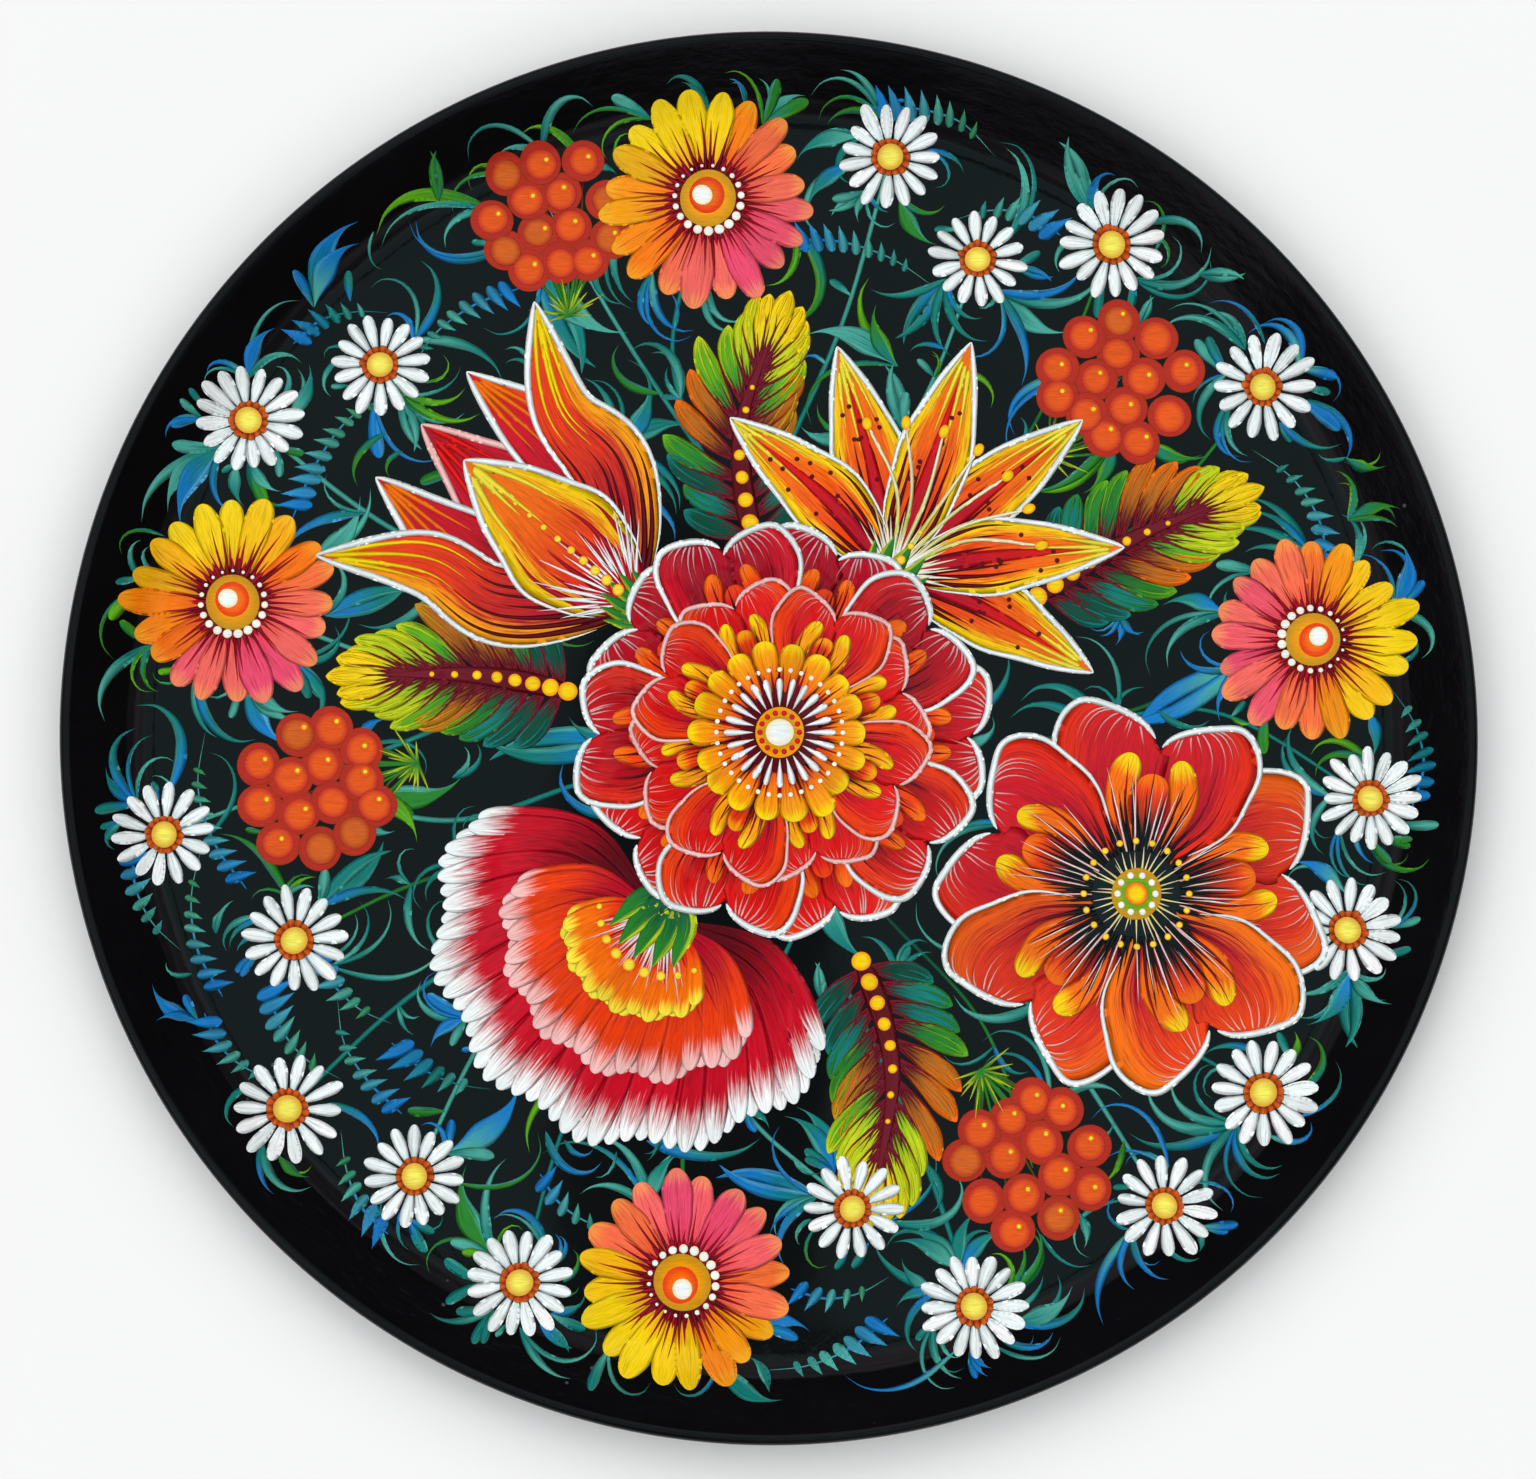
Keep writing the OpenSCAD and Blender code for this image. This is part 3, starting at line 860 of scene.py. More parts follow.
def fern(space, points, half_width):
    """A thin stem crossed by drops that shrink towards its end, if there is room; says whether there was"""
    strip = band(points, half_width + FERN_MARGIN)
    if not space.free(strip, FERN_HIDDEN):
        return False
    space.leaves[space.cells(strip)] = True
    stem = curve_through(points, 60)
    way = headings(stem)
    lower, middle, upper = FERN_TONES[rng.integers(len(FERN_TONES))]
    brush(FERN_LAYER, "painted_ferns", points, 0.36, "comma", (lower, middle))
    count = int(distances(stem)[-1] / FERN_STEP)
    lean = rng.choice([-1, 1])
    for k in range(count):
        f = k / count
        at = int(5 + f * 46)
        size = half_width * (1 - 0.66 * f**1.3)
        reach = left_of(way[at]) * lean * 0.93 - way[at] * 0.36
        start = stem[at] - reach * size * 0.70
        end = stem[at] + reach * size * 1.05
        tone = lower + (middle - lower) * min(2 * f, 1) + (upper - middle) * max(2 * f - 1, 0)
        line = [start, (start + end) / 2 + way[at] * 0.05 * size, end]
        brush(FERN_LAYER + 1, "painted_ferns", line, 0.27 * size + 0.2, "blade",
              (tone * 0.85, tone * 1.1, tone * 0.8 + 0.3 * SKY), blend=(0.2, 0.8), thin=0.12)
    return True


def paint_stems(ends):
    """Stems from the middle to the small motifs; returns places along them with their directions"""
    shoots = []
    for end in ends:
        start = turned([end * 0.42], rng.normal(0, 10))[0]
        middle = (start + end) / 2 + left_of(end) / np.hypot(*end) * rng.normal(0, 7)
        brush(STEM_LAYER, "painted_stems", [start, middle, end], rng.uniform(*STEM_HALF_WIDTH), "line",
              STEM_TONES[rng.integers(len(STEM_TONES))], thin=0.1)
        line = curve_through([start, middle, end], 20)
        shoots += [(line[k], bearing(line[k + 1] - line[k])) for k in (7, 11, 15)]
    return shoots


def paint_ferns(space):
    """Ferns that curve along the rim wherever a try finds room"""
    found = 0
    for attempt in range(FERN_TRIES):
        angle = rng.uniform(0, 360)
        side = rng.choice([-1, 1])
        length = rng.uniform(*FERN_LENGTH)
        way = angle + side * rng.uniform(60, 100)
        line = [polar(rng.uniform(*FERN_REACH), angle)]
        for step in range(3):
            line.append(polar(length / 3, way, line[-1]))
            way += side * rng.uniform(13, 27)
        found += fern(space, line, rng.uniform(*FERN_HALF_WIDTH))
        if found == FERN_COUNT:
            break


def paint_sprigs(space, rings, shoots):
    """Sprigs round the motifs and along the stems, smaller each time, then in what is still black"""
    for shrink in SPRIG_ROUNDS:
        for centre, reach, count, size in rings:
            for angle in around(count, rng.uniform(0, 360)):
                root = polar(reach * rng.uniform(0.8, 1.0), angle, centre)
                sprig(space, root, angle + rng.normal(0, 12), size * shrink * rng.uniform(0.85, 1.15),
                      rng.integers(5, 9))
        for spot, way in shoots:
            for side in (-1, 1):
                sprig(space, spot, way + side * rng.uniform(25, 50), SHOOT_SIZE * shrink, 4)
    for gap, spot, near in widest_gaps(space):
        if gap < LEAST_GAP:
            break
        toward = spot - near
        sprig(space, near - 2 * toward / gap, bearing(toward), min(GAP_SHARE * gap, MOST_GAP_SIZE), 5)


# The bouquet from its lowest layer up: how each kind is painted, its piece, its layer and its motifs,
# each with its place and its size in millimetres and its turn in degrees
BOUQUET = [
    (rowan, "painted_berries", 30, [
        (70, 70, 40, 48), (-51, 105, 39, 100), (-88, -8, 40, 195), (52, -84, 40, -62)]),
    (chamomile, "painted_chamomiles", 40, [
        (30, 146, 13, 0), (52, 120, 12.5, 17), (86, 124, 13.5, 34), (124, 88, 13, 51), (150, -16, 12.5, 68),
        (147, -50, 13, 85), (126, -92, 13.5, 102), (98, -118, 12.5, 119), (50, -142, 13, 136),
        (20, -118, 12.5, 153), (-62, -136, 13, 170), (-88, -110, 12.5, 187), (-120, -94, 13.5, 204),
        (-118, -52, 13, 221), (-151, -26, 12.5, 238), (-131, 78, 13, 255), (-98, 92, 12.5, 272)]),
    (zinnia, "painted_zinnias", 50, [
        (-16, 135, 27.5, 110), (-134, 32, 26, 100), (-22, -136, 27, 230), (136, 24, 26, 350)]),
    (lily, "painted_lily", 60, [(30, 40, 64, 55)]),
    (tulip, "painted_tulip", 60, [(-34, 32, 70, 140)]),
    (carnation, "painted_carnation", 60, [(-26, -44, 62, 236)]),
    (mallow, "painted_mallow", 75, [(91, -40, 44, 10)]),
    (peony, "painted_peony", 90, [(2, 0, 50, 0)]),
]
# Rings of sprigs: the kind they grow round, the ring's place and radius in shares of its size, and the
# number and the size of the sprigs
RINGS = [
    (chamomile, 0, 0.85, 8, 22), (zinnia, 0, 0.92, 10, 24), (rowan, 0.68, 0.42, 9, 24),
    (mallow, 0, 0.9, 14, 26), (peony, 0, 0.9, 14, 26),
    (lily, 0.6, 0.5, 14, 26), (tulip, 0.6, 0.5, 14, 26), (carnation, 0.6, 0.5, 14, 26),
]
STEMMED = (chamomile, zinnia, rowan)
# The foot, the middle and the tip of each large leaf
LEAVES = [((66, 34), (88, 48), (112, 58)), ((-50, 10), (-72, 14), (-98, 14)),
          ((22, -56), (30, -82), (26, -112)), ((-4, 46), (-8, 74), (0, 100))]
LEAF_SIZE = 19


def inside(x, y, size):
    """The place of a motif, drawn in from the rim so far that its size fits on the painted face"""
    return np.array([x, y]) * min(1, (BLOOM_LIMIT - size) / math.hypot(x, y))


def paint_bouquet():
    """Large leaves, then the motifs from the lowest layer up, then all that fills the black between them"""
    for k, line in enumerate(LEAVES):
        comb_leaf(Motif("painted_leaves", LEAF_LAYER + 0.01 * k, line[0], LEAF_SIZE, 0), line)
    motifs = {}
    for paint, piece, layer, places in BOUQUET:
        motifs[paint] = [Motif(piece, layer, inside(x, y, size), size, turn) for x, y, size, turn in places]
        for motif in motifs[paint]:
            paint(motif)

    space = Space()
    for stroke in strokes:
        space.motifs[space.cells(stroke.footprint)] = True
    rings = {kind: [(motif.spot(out, 0), reach * motif.size, count, size) for motif in motifs[kind]]
             for kind, out, reach, count, size in RINGS}
    shoots = paint_stems([ring[0] for kind in STEMMED for ring in rings[kind]])
    paint_ferns(space)
    paint_sprigs(space, sum(rings.values(), []), shoots)


# From strokes to pieces
def widened(heights, reach):
    """The highest value within a few cells of each cell"""
    for axis in (0, 1):
        margin = [(reach, reach) if k == axis else (0, 0) for k in (0, 1)]
        padded = np.pad(heights, margin, mode="edge")
        count = heights.shape[axis]
        shifted = [np.take(padded, range(s, s + count), axis) for s in range(2 * reach + 1)]
        heights = np.maximum.reduce(shifted)
    return heights


def settle():
    """Lays the strokes layer by layer: each follows the paint under it, and a dot lies level on it"""
    count = int(2 * TRAY_RADIUS / HEIGHT_CELL) + 1
    height = np.zeros((count, count))
    cells = lambda xy: np.clip(((xy + TRAY_RADIUS) / HEIGHT_CELL).astype(int), 0, count - 1).T
    by_layer = lambda stroke: stroke.layer
    for layer, group in itertools.groupby(sorted(strokes, key=by_layer), key=by_layer):
        tops = []
        for stroke in group:
            film = COVE_FILM if np.hypot(*stroke.xy.T).max() > FLOOR_RADIUS else FILM
            grain = stroke.grain
            mark = cells(stroke.footprint)
            if grain == 0:
                stroke.base = height[tuple(mark)].max() + film
                tops.append((mark, stroke.base + stroke.swell))
                continue
            spots = cells(stroke.xy)
            both = np.hstack([mark, spots])
            low = np.maximum(both.min(axis=1) - 2 * grain, 0)
            high = both.max(axis=1) + 2 * grain + 1
            near = widened(height[low[0]:high[0], low[1]:high[1]], grain)
            stroke.base = near[tuple(spots - low[:, None])] + film
            far = widened(near, grain)
            tops.append((mark, far[tuple(mark - low[:, None])] + film + stroke.swell))
        for (i, j), top in tops:
            np.maximum.at(height, (i, j), top)


# Map of a piece: the gap between strokes, and the share of its width that a stroke's underside gets
CHART_GAP = 0.5
CHART_UNDER = 0.25


def chart_places(members):
    """Packs each stroke's flat outline on shelves in a square, for a map with no overlaps"""
    sizes = [stroke.chart_size for stroke in members]
    boxes = [(length + CHART_GAP, width * (1 + CHART_UNDER) + 2 * CHART_GAP) for length, width in sizes]
    side = math.sqrt(sum(w * h for w, h in boxes)) * 1.08
    places = [None] * len(members)
    x = y = shelf = 0.0
    for k in sorted(range(len(members)), key=lambda k: -boxes[k][1]):
        w, h = boxes[k]
        if x + w > side:
            x, y, shelf = 0.0, y + shelf, 0.0
        places[k] = (x, y)
        x += w
        shelf = max(shelf, h)
    return places, max(side, y + shelf)


def add_piece(name, mesh, material):
    """Puts a mesh in the scene, on the tray's one body"""
    mesh.materials.append(material)
    piece = bpy.data.objects.new(name, mesh)
    bpy.context.scene.collection.objects.link(piece)
    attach(piece, "root")
    return piece


def build_piece(name, members, material):
    """One mesh of all the strokes of a motif, with the values that its material reads"""
    points, loops, totals, smooth, charts = [], [], [], [], []
    places, side = chart_places(members)
    first = 0
    for stroke, corner in zip(members, places):
        xy = stroke.xy
        radius = np.hypot(*xy.T)
        lift = stroke.base + stroke.rise
        slope = face_slope(radius)
        inward = -xy / np.maximum(radius, 1e-6)[:, None] * (np.sin(slope) * lift)[:, None]
        points.append(np.column_stack([xy + inward, face_height(radius) + np.cos(slope) * lift]))
        chart = (stroke.chart + corner) / side
        under = (stroke.chart * [1, CHART_UNDER] + corner + [0, stroke.chart_size[1] + CHART_GAP]) / side
        for faces, flag, where in ((stroke.faces, True, chart), (stroke.floors, False, under)):
            for face in faces:
                loops.extend(first + v for v in face)
                totals.append(len(face))
                smooth.append(flag)
                charts.extend(where[v] for v in face)
        first += len(xy)
    mesh = bpy.data.meshes.new(name)
    mesh.vertices.add(first)
    mesh.vertices.foreach_set("co", (np.vstack(points) * MM).astype(np.float32).ravel())
    mesh.loops.add(len(loops))
    mesh.loops.foreach_set("vertex_index", loops)
    mesh.polygons.add(len(totals))
    mesh.polygons.foreach_set("loop_start", np.concatenate([[0], np.cumsum(totals)[:-1]]).astype(np.int32))
    mesh.polygons.foreach_set("use_smooth", smooth)
    mesh.update(calc_edges=True)
    for k, key in enumerate(("ink_start", "ink_end", "ink_edge")):
        inks = [np.tile([*np.clip(s.inks[k], 0, 1), 1], (len(s.xy), 1)) for s in members]
        mesh.attributes.new(key, "FLOAT_COLOR", "POINT").data.foreach_set("color", np.vstack(inks).ravel())
    for key in ("blend", "bristle"):
        values = np.vstack([getattr(s, key) for s in members])
        mesh.attributes.new(key, "FLOAT_VECTOR", "POINT").data.foreach_set("vector", values.ravel())
    mesh.uv_layers.new(name="OFBake").data.foreach_set("uv", np.array(charts).ravel())
    mesh.validate()
    add_piece(name, mesh, material)


# Materials
COAT_IOR = 1.255


class Nodes:
    """Short calls for building a node tree"""

    def __init__(self, tree):
        self.tree = tree

    def connect(self, node, inputs):
        """Links sockets to a node's inputs, and sets values on the inputs themselves"""
        for key, value in inputs.items():
            if isinstance(value, bpy.types.NodeSocket):
                self.tree.links.new(value, node.inputs[key])
            else:
                node.inputs[key].default_value = value
        return node

    def add(self, kind, inputs=None, **settings):
        node = self.tree.nodes.new(kind)
        for key, value in settings.items():
            setattr(node, key, value)
        return self.connect(node, inputs or {})

    def math(self, operation, *values):
        return self.add("ShaderNodeMath", dict(enumerate(values)), operation=operation).outputs[0]

    def times(self, *values):
        return reduce(lambda a, b: self.math("MULTIPLY", a, b), values)

    def plus(self, *values):
        return reduce(lambda a, b: self.math("ADD", a, b), values)

    def place(self, kind):
        return self.add("ShaderNodeTexCoord").outputs[kind]

    def split(self, vector):
        return self.add("ShaderNodeSeparateXYZ", {0: vector}).outputs

    def stretched(self, x, x_scale, y, y_scale, z=0.0):
        """A place to read noise at, with a scale of its own on each axis"""
        inputs = {0: self.times(x, x_scale), 1: self.times(y, y_scale), 2: z}
        return self.add("ShaderNodeCombineXYZ", inputs).outputs[0]

    def noise(self, vector, scale, detail=2.0, roughness=0.5):
        inputs = {"Vector": vector, "Scale": scale, "Detail": detail, "Roughness": roughness}
        return self.add("ShaderNodeTexNoise", inputs).outputs["Fac"]

    def remap(self, value, low, high, to_low=0.0, to_high=1.0, kind="SMOOTHSTEP"):
        inputs = {0: value, 1: low, 2: high, 3: to_low, 4: to_high}
        return self.add("ShaderNodeMapRange", inputs, interpolation_type=kind).outputs[0]

    def mix(self, factor, a, b, mode="MIX"):
        node = self.add("ShaderNodeMix", data_type="RGBA", blend_type=mode)
        return self.connect(node, {0: factor, 6: a, 7: b}).outputs[2]

    def bump(self, height):
        """The normal of a surface with a height in millimetres"""
        return self.add("ShaderNodeBump", {"Height": height, "Distance": MM, "Strength": 1.0}).outputs[0]


def new_material(name):
    material = bpy.data.materials.new(name)
    material.use_nodes = True
    return material, Nodes(material.node_tree), material.node_tree.nodes["Principled BSDF"]


def colour(value):
    return (*[float(v) for v in value], 1.0)


def varnish_height(nodes, position):
    """Height of the varnish in millimetres: waves, fine peel, patches of brush marks and an uneven bend"""
    x, y = nodes.split(position)[:2]
    radius = nodes.math("SQRT", nodes.plus(nodes.times(x, x), nodes.times(y, y)))
    angle = nodes.math("ARCTAN2", y, x)
    waves = nodes.times(nodes.noise(position, 32.0), 0.034)
    peel = nodes.times(nodes.noise(position, 420.0, 1.0), 0.0012)
    patches = nodes.remap(nodes.noise(position, 19.0, 1.0), 0.42, 0.66)
    drag = nodes.times(nodes.noise(nodes.stretched(x, 70.0, y, 800.0), 1.0, 3.0), patches, 0.005)
    outer = nodes.remap(radius, 0.72 * TRAY_RADIUS * MM, 0.95 * TRAY_RADIUS * MM)
    marks = nodes.times(nodes.noise(nodes.stretched(radius, 900.0, angle, 3.0), 1.0, 3.0), outer, 0.006)
    bend = nodes.remap(radius, 0.84 * TRAY_RADIUS * MM, 0.89 * TRAY_RADIUS * MM)
    mottle = nodes.noise(nodes.stretched(radius, 380.0, angle, 24.0), 1.0, 4.0, 0.55)
    return nodes.plus(waves, peel, drag, marks, nodes.times(mottle, bend, 0.085))


def lacquer_material():
    """Deep black lacquer: glossy on the painted face, satin behind, with a few specks of dust under it"""
    material, nodes, shader = new_material("black_lacquer")
    position = nodes.place("Object")
    front = nodes.remap(nodes.split(nodes.place("Normal"))[2], -0.2, 0.2)
    cloud = nodes.noise(position, 60.0, 4.0, 0.6)
    tone = nodes.mix(cloud, colour(ink(5, 5, 6)), colour(ink(11, 10, 12)))
    specks = nodes.add("ShaderNodeTexVoronoi", {"Vector": position, "Scale": 130.0}).outputs["Distance"]
    rare = nodes.remap(nodes.noise(position, 41.0, 0.0), 0.69, 0.70)
    speck = nodes.times(nodes.remap(specks, 0.085, 0.05), rare)
    dull = nodes.remap(front, 0.0, 1.0, 0.46, 0.30)
    bump = nodes.bump(nodes.plus(varnish_height(nodes, position), nodes.times(speck, 0.02)))
    nodes.connect(shader, {
        "Base Color": nodes.mix(nodes.times(speck, 0.35), tone, colour(ink(120, 122, 120))),
        "Roughness": nodes.plus(dull, nodes.remap(cloud, 0.3, 0.7, -0.03, 0.03)),
        "Specular IOR Level": 0.03,
        "Normal": bump,
        "Coat Weight": nodes.remap(front, 0.0, 1.0, 0.25, 1.0),
        "Coat Roughness": 0.03,
        "Coat IOR": COAT_IOR,
        "Coat Normal": bump,
    })
    return material


def paint_material():
    """Body colour from a loaded brush: two inks run into each other in streaks, under the same varnish"""
    material, nodes, shader = new_material("brush_paint")
    read = lambda name, socket: nodes.add("ShaderNodeAttribute", attribute_name=name).outputs[socket]
    along, across, seed = nodes.split(read("bristle", "Vector"))
    run, edge, thin = nodes.split(read("blend", "Vector"))
    streak = nodes.noise(nodes.stretched(along, 0.13, across, 2.3, seed), 1.0, 3.0, 0.6)
    fine = nodes.noise(nodes.stretched(along, 0.4, across, 6.0, seed), 1.0, 2.0, 0.55)
    offset = nodes.remap(streak, 0.2, 0.8, -0.5, 0.5, "LINEAR")
    step = nodes.remap(nodes.plus(run, nodes.times(offset, 0.5)), 0.0, 1.0)
    paint = nodes.mix(step, read("ink_start", "Color"), read("ink_end", "Color"))
    side = nodes.remap(nodes.plus(edge, nodes.times(offset, 0.7)), 0.25, 0.95)
    side = nodes.times(side, nodes.remap(edge, 0.0, 0.15))
    paint = nodes.mix(side, paint, read("ink_edge", "Color"))
    value = nodes.times(nodes.remap(fine, 0.25, 0.75, 0.82, 1.14, "LINEAR"),
                        nodes.remap(streak, 0.25, 0.75, 0.86, 1.14, "LINEAR"))
    paint = nodes.mix(1.0, paint, value, "MULTIPLY")
    dry = nodes.times(nodes.remap(streak, 0.46, 0.30), thin)
    varnish = varnish_height(nodes, nodes.place("Object"))
    ridge = nodes.plus(nodes.times(streak, 0.007), nodes.times(fine, 0.002))
    nodes.connect(shader, {
        "Base Color": nodes.mix(dry, paint, colour(GROUND)),
        "Roughness": nodes.remap(fine, 0.2, 0.8, 0.36, 0.52, "LINEAR"),
        "Specular IOR Level": 0.04,
        "Normal": nodes.bump(nodes.plus(varnish, ridge)),
        "Coat Weight": 1.0,
        "Coat Roughness": 0.05,
        "Coat IOR": COAT_IOR,
        "Coat Normal": nodes.bump(nodes.plus(varnish, nodes.times(ridge, 0.3))),
    })
    return material


def metal_material(name, tone, metallic, roughness):
    """Wire or solder, bare or under lacquer, with a fine grain"""
    material, nodes, shader = new_material(name)
    grain = nodes.noise(nodes.place("Object"), 900.0, 3.0, 0.6)
    nodes.connect(shader, {
        "Base Color": nodes.mix(grain, colour(tone * 0.75), colour(tone * 1.15)),
        "Metallic": metallic,
        "Roughness": nodes.remap(grain, 0.3, 0.7, roughness - 0.08, roughness + 0.08),
        "Normal": nodes.bump(nodes.times(grain, 0.01)),
    })
    return material


def dress(node, material):
    """Gives a CAD node its material"""
    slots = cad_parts[node].data.materials
    slots.clear()
    slots.append(material)


# The tray's sheet
def arc(centre, radius, start, end, count):
    """Points on an arc, in the tray's section"""
    a = np.linspace(start, end, count)
    return np.stack([centre[0] + radius * np.cos(a), centre[1] + radius * np.sin(a)], -1)


def tray_section():
    """The sheet's outline in section: over the face and round the curl, then back underneath to the axis"""
    bend = (FLOOR_RADIUS, SHEET + COVE_RADIUS)
    wire = (TRAY_RADIUS - EDGE_RADIUS, RIM_HEIGHT - EDGE_RADIUS)
    down = -math.pi / 2
    top = math.pi / 2 + RIM_ANGLE
    face = np.linspace((0, SHEET), (FLOOR_RADIUS, SHEET), 16)[:-1]
    cove = arc(bend, COVE_RADIUS, down, down + RIM_ANGLE, 16)
    curl = arc(wire, EDGE_RADIUS, top, top - CURL_WRAP, 40)
    flare = np.linspace(cove[-1], curl[0], 8)[1:-1]
    inner_curl = arc(wire, WIRE_ROOM, top - CURL_WRAP, top, 30)
    under_cove = arc(bend, COVE_RADIUS + SHEET, down + RIM_ANGLE, down, 16)
    under_flare = np.linspace(inner_curl[-1], under_cove[0], 8)[1:-1]
    base = np.linspace((FLOOR_RADIUS, 0), (0, 0), 16)[1:]
    return np.vstack([face, cove, flare, curl, inner_curl, under_flare, under_cove, base])


def fine_tray(material):
    """The tray's sheet turned from the same section as the CAD node, with a finer mesh for its gloss"""
    turns = 512
    section = tray_section()
    rows = len(section) - 2
    angle = np.arange(turns) / turns * 2 * math.pi
    radius, height = section[1:-1, :, None].transpose(1, 0, 2)
    rings = np.stack([radius * np.cos(angle), radius * np.sin(angle), height + 0 * angle], -1).reshape(-1, 3)
    points = np.vstack([(0, 0, section[0, 1]), rings, (0, 0, section[-1, 1])])
    reach = distances(section)
    reach /= reach[-1]
    places = grid_faces(lambda i, j: (i, j), rows, turns)
    at = lambda i, j: min(max(0, 1 + i * turns + j % turns), len(points) - 1)
    mesh = bpy.data.meshes.new("tray_sheet")
    mesh.from_pydata((points * MM).tolist(), [], [[at(i, j) for i, j in face] for face in places])
    mesh.polygons.foreach_set("use_smooth", [True] * len(places))
    chart = [(j / turns, reach[i + 1]) for face in places for i, j in face]
    mesh.uv_layers.new(name="OFBake").data.foreach_set("uv", np.array(chart).ravel())
    mesh.set_sharp_from_angle(angle=math.radians(35))
    tray = add_piece("tray_sheet", mesh, material)
    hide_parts("tray_pan")


lacquer = lacquer_material()
dress("tray_pan", lacquer)
fine_tray(lacquer)
dress("rim_wire", metal_material("drawn_steel", ink(168, 168, 166), 1.0, 0.32))
dress("hanging_loop", metal_material("loop_lacquer", ink(22, 22, 23), 0.0, 0.36))
dress("solder_joints", metal_material("solder_lacquer", ink(34, 34, 35), 0.0, 0.42))

paint_bouquet()
settle()
paint = paint_material()
for piece in sorted({stroke.piece for stroke in strokes}):
    build_piece(piece, [stroke for stroke in strokes if stroke.piece == piece], paint)

# Studio
FLOOR_HALF = 6.0
FLOOR_COLOUR = (0.965, 0.95, 0.945, 1)
NEUTRAL = (1.0, 1.0, 1.01)
COOL = (0.84, 1.0, 1.01)
# The light from the sky by the sine of its height: pale at the horizon, dark above it, and a bright dome
SKY_LEVELS = [(0.0, 0.92, NEUTRAL), (0.11, 0.92, NEUTRAL), (0.20, 0.05, NEUTRAL), (0.38, 0.05, NEUTRAL),
              (0.47, 1.30, NEUTRAL), (0.88, 1.30, NEUTRAL), (0.97, 0.74, COOL), (1.0, 0.70, COOL)]
BRIGHT_SIDE = math.radians(125)
SIDE_CONTRAST = 0.4
CLOUD_CONTRAST = 0.6
# How much darker the gloss shows the sides of the dome, so that the bend and the rim read black
WALL_SHADE = 0.62
# Colour of the dome's sides and of its top in the gloss
WALL_TINT = (1.06, 0.95, 1.06, 1)
ZENITH_TINT = (0.76, 1.07, 1.07, 1)
# A darker place overhead, which the gloss shows near the middle: its middle and half axes, for a height of 1
DARK_SPOT = (0.026, 0.03)
DARK_SPOT_SIZE = (0.034, 0.12)
DARK_SPOT_SHADE = 0.85


def pale_floor():
    mesh = bpy.data.meshes.new("floor")
    corners = [(x * FLOOR_HALF, y * FLOOR_HALF, 0) for x, y in ((-1, -1), (1, -1), (1, 1), (-1, 1))]
    mesh.from_pydata(corners, [], [(0, 1, 2, 3)])
    floor = bpy.data.objects.new("floor", mesh)
    bpy.context.scene.collection.objects.link(floor)
    material, nodes, shader = new_material("floor_white")
    nodes.connect(shader, {"Base Color": FLOOR_COLOUR, "Roughness": 0.9, "Specular IOR Level": 0.1})
    mesh.materials.append(material)


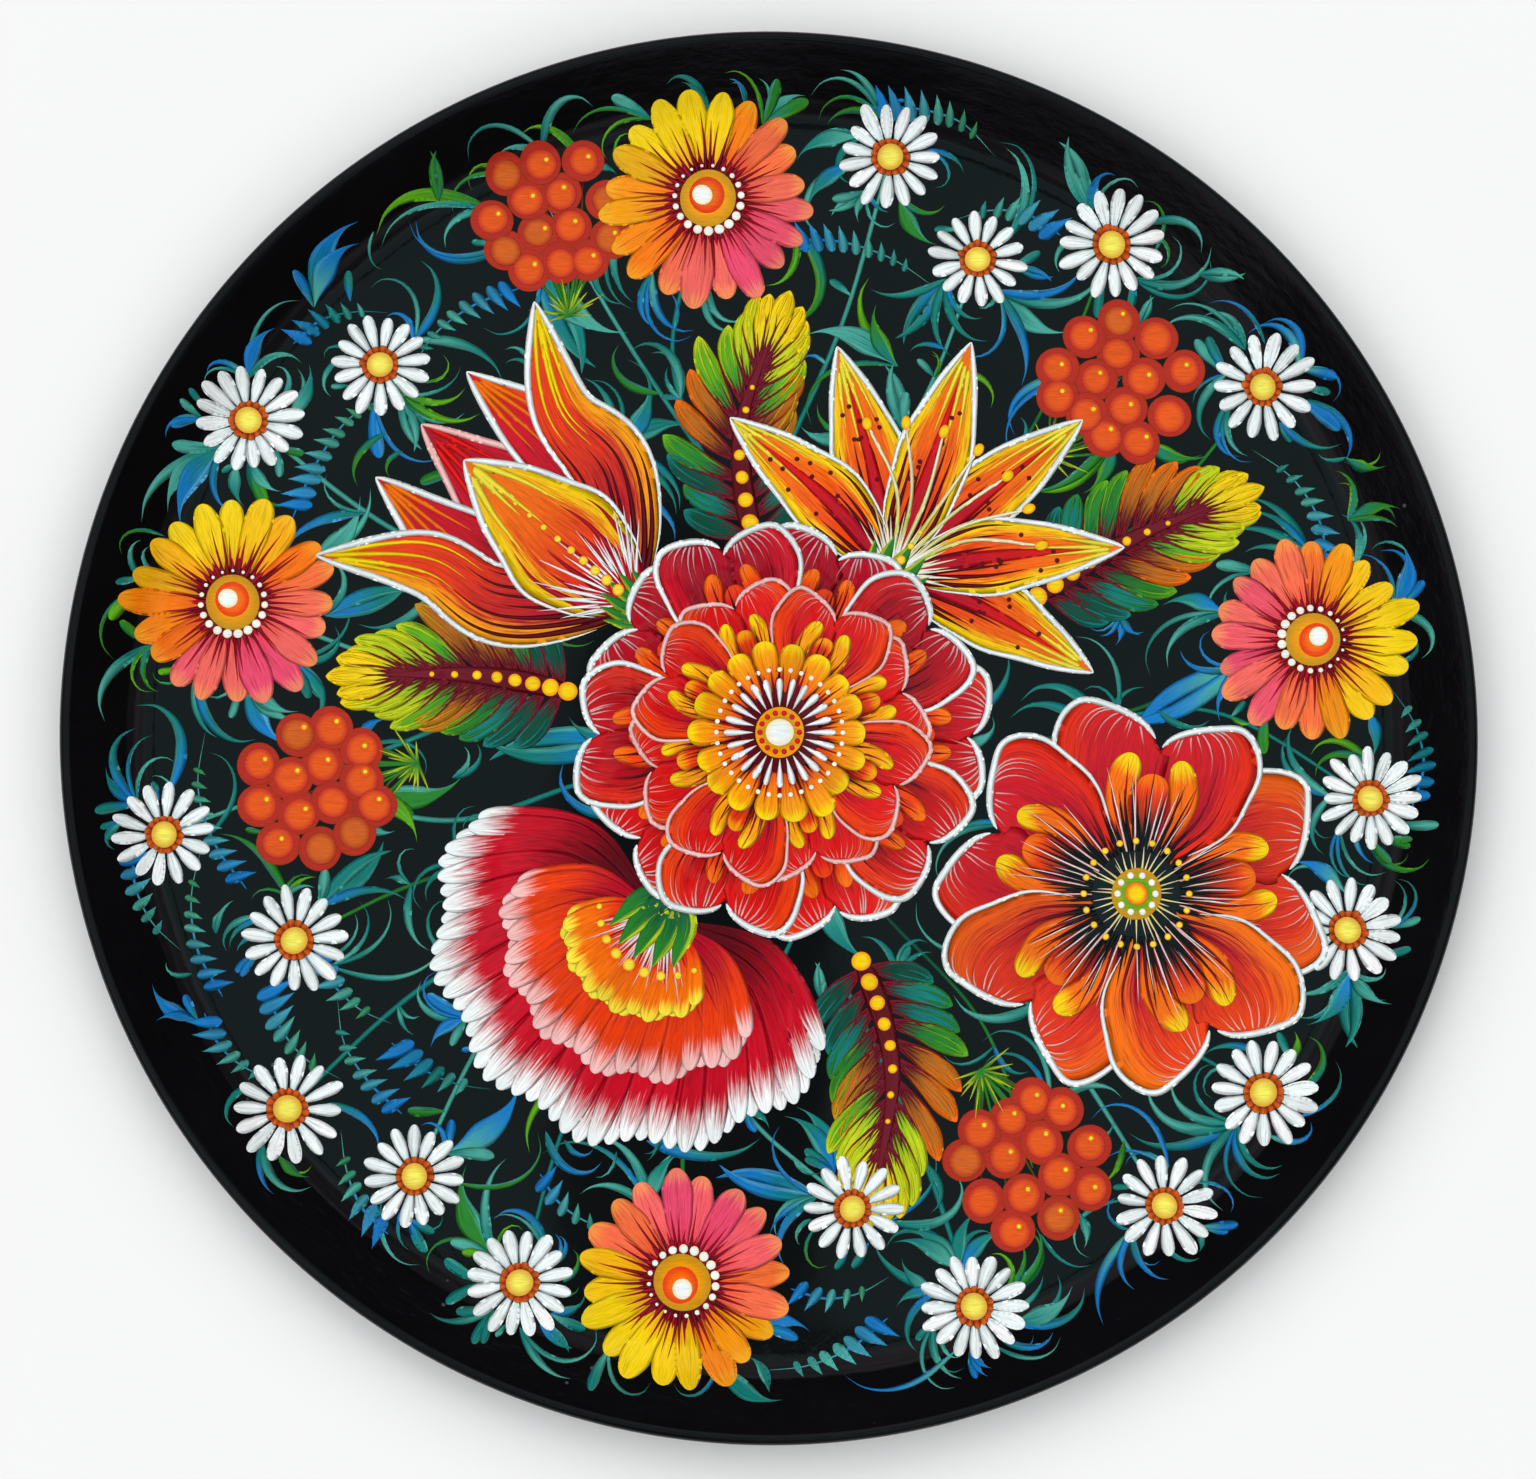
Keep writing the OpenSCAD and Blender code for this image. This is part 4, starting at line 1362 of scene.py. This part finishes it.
def studio_light():
    """A soft dome with a brighter side, clouds and a dark spot; its sides are darker in the gloss"""
    world = bpy.data.worlds.new("studio")
    bpy.context.scene.world = world
    world.use_nodes = True
    nodes = Nodes(world.node_tree)
    way = nodes.place("Generated")
    east, north, up = nodes.split(way)
    ramp = nodes.add("ShaderNodeValToRGB", {"Fac": up})
    stops = ramp.color_ramp.elements
    while len(stops) < len(SKY_LEVELS):
        stops.new(0.5)
    for stop, (place, level, tint) in zip(stops, SKY_LEVELS):
        stop.position = place
        stop.color = (*[level * t for t in tint], 1)

    bright_way = (math.cos(BRIGHT_SIDE), math.sin(BRIGHT_SIDE), 0)
    bright = nodes.add("ShaderNodeVectorMath", {0: way, 1: bright_way}, operation="DOT_PRODUCT")
    clouds = nodes.remap(nodes.noise(way, 3.2), 0.3, 0.7, -CLOUD_CONTRAST, CLOUD_CONTRAST)
    lean = nodes.times(nodes.plus(nodes.times(bright.outputs["Value"], SIDE_CONTRAST), clouds),
                       nodes.times(nodes.remap(up, 0.2, 0.4), nodes.remap(up, 0.99, 0.9)))
    reach = []
    for axis, middle, half in zip((east, north), DARK_SPOT, DARK_SPOT_SIZE):
        offset = nodes.math("SUBTRACT", nodes.math("DIVIDE", axis, up), middle)
        offset = nodes.math("DIVIDE", offset, half)
        reach.append(nodes.times(offset, offset))
    spot = nodes.times(nodes.remap(nodes.plus(*reach), 1.2, 0.7), nodes.remap(up, 0.8, 0.9), DARK_SPOT_SHADE)
    mirrored = nodes.add("ShaderNodeLightPath").outputs["Is Glossy Ray"]
    walls = nodes.times(nodes.remap(up, 0.11, 0.3), nodes.remap(up, 0.97, 0.86, 0.0, WALL_SHADE), mirrored)
    strength = nodes.plus(1.0, lean)
    for shade in (spot, walls):
        strength = nodes.times(strength, nodes.math("SUBTRACT", 1.0, shade))
    tint = nodes.mix(nodes.remap(up, 0.86, 0.97), WALL_TINT, ZENITH_TINT)
    shown = nodes.mix(mirrored, ramp.outputs["Color"], tint, "MULTIPLY")
    nodes.connect(world.node_tree.nodes["Background"], {"Color": shown, "Strength": strength})


CAMERA_DISTANCE = 1.1
CAMERA_TILT = math.radians(5.6)
CAMERA_SIDE = math.radians(244)
CAMERA_LENS = 103.4
CAMERA_SENSOR = 36.0
CAMERA_CLIP = 0.01
CAMERA_SHIFT = (-0.85 * MM, -1.63 * MM)


def camera():
    """Over the tray and a little to its lower left, with the top of the painting upright"""
    data = bpy.data.cameras.new("camera")
    data.sensor_width = CAMERA_SENSOR
    data.lens = CAMERA_LENS
    data.clip_start = CAMERA_CLIP
    eye = bpy.data.objects.new("camera", data)
    side = Vector((math.cos(CAMERA_SIDE), math.sin(CAMERA_SIDE), 0))
    away = side * math.sin(CAMERA_TILT) + Vector((0, 0, math.cos(CAMERA_TILT)))
    right = Vector((0, 1, 0)).cross(away).normalized()
    upward = away.cross(right)
    place = away * CAMERA_DISTANCE + right * CAMERA_SHIFT[0] + upward * CAMERA_SHIFT[1]
    eye.matrix_world = Matrix((right, upward, away)).transposed().to_4x4()
    eye.matrix_world.translation = place
    bpy.context.scene.collection.objects.link(eye)
    bpy.context.scene.camera = eye


pale_floor()
studio_light()
camera()
bpy.context.scene.view_settings.view_transform = "Standard"
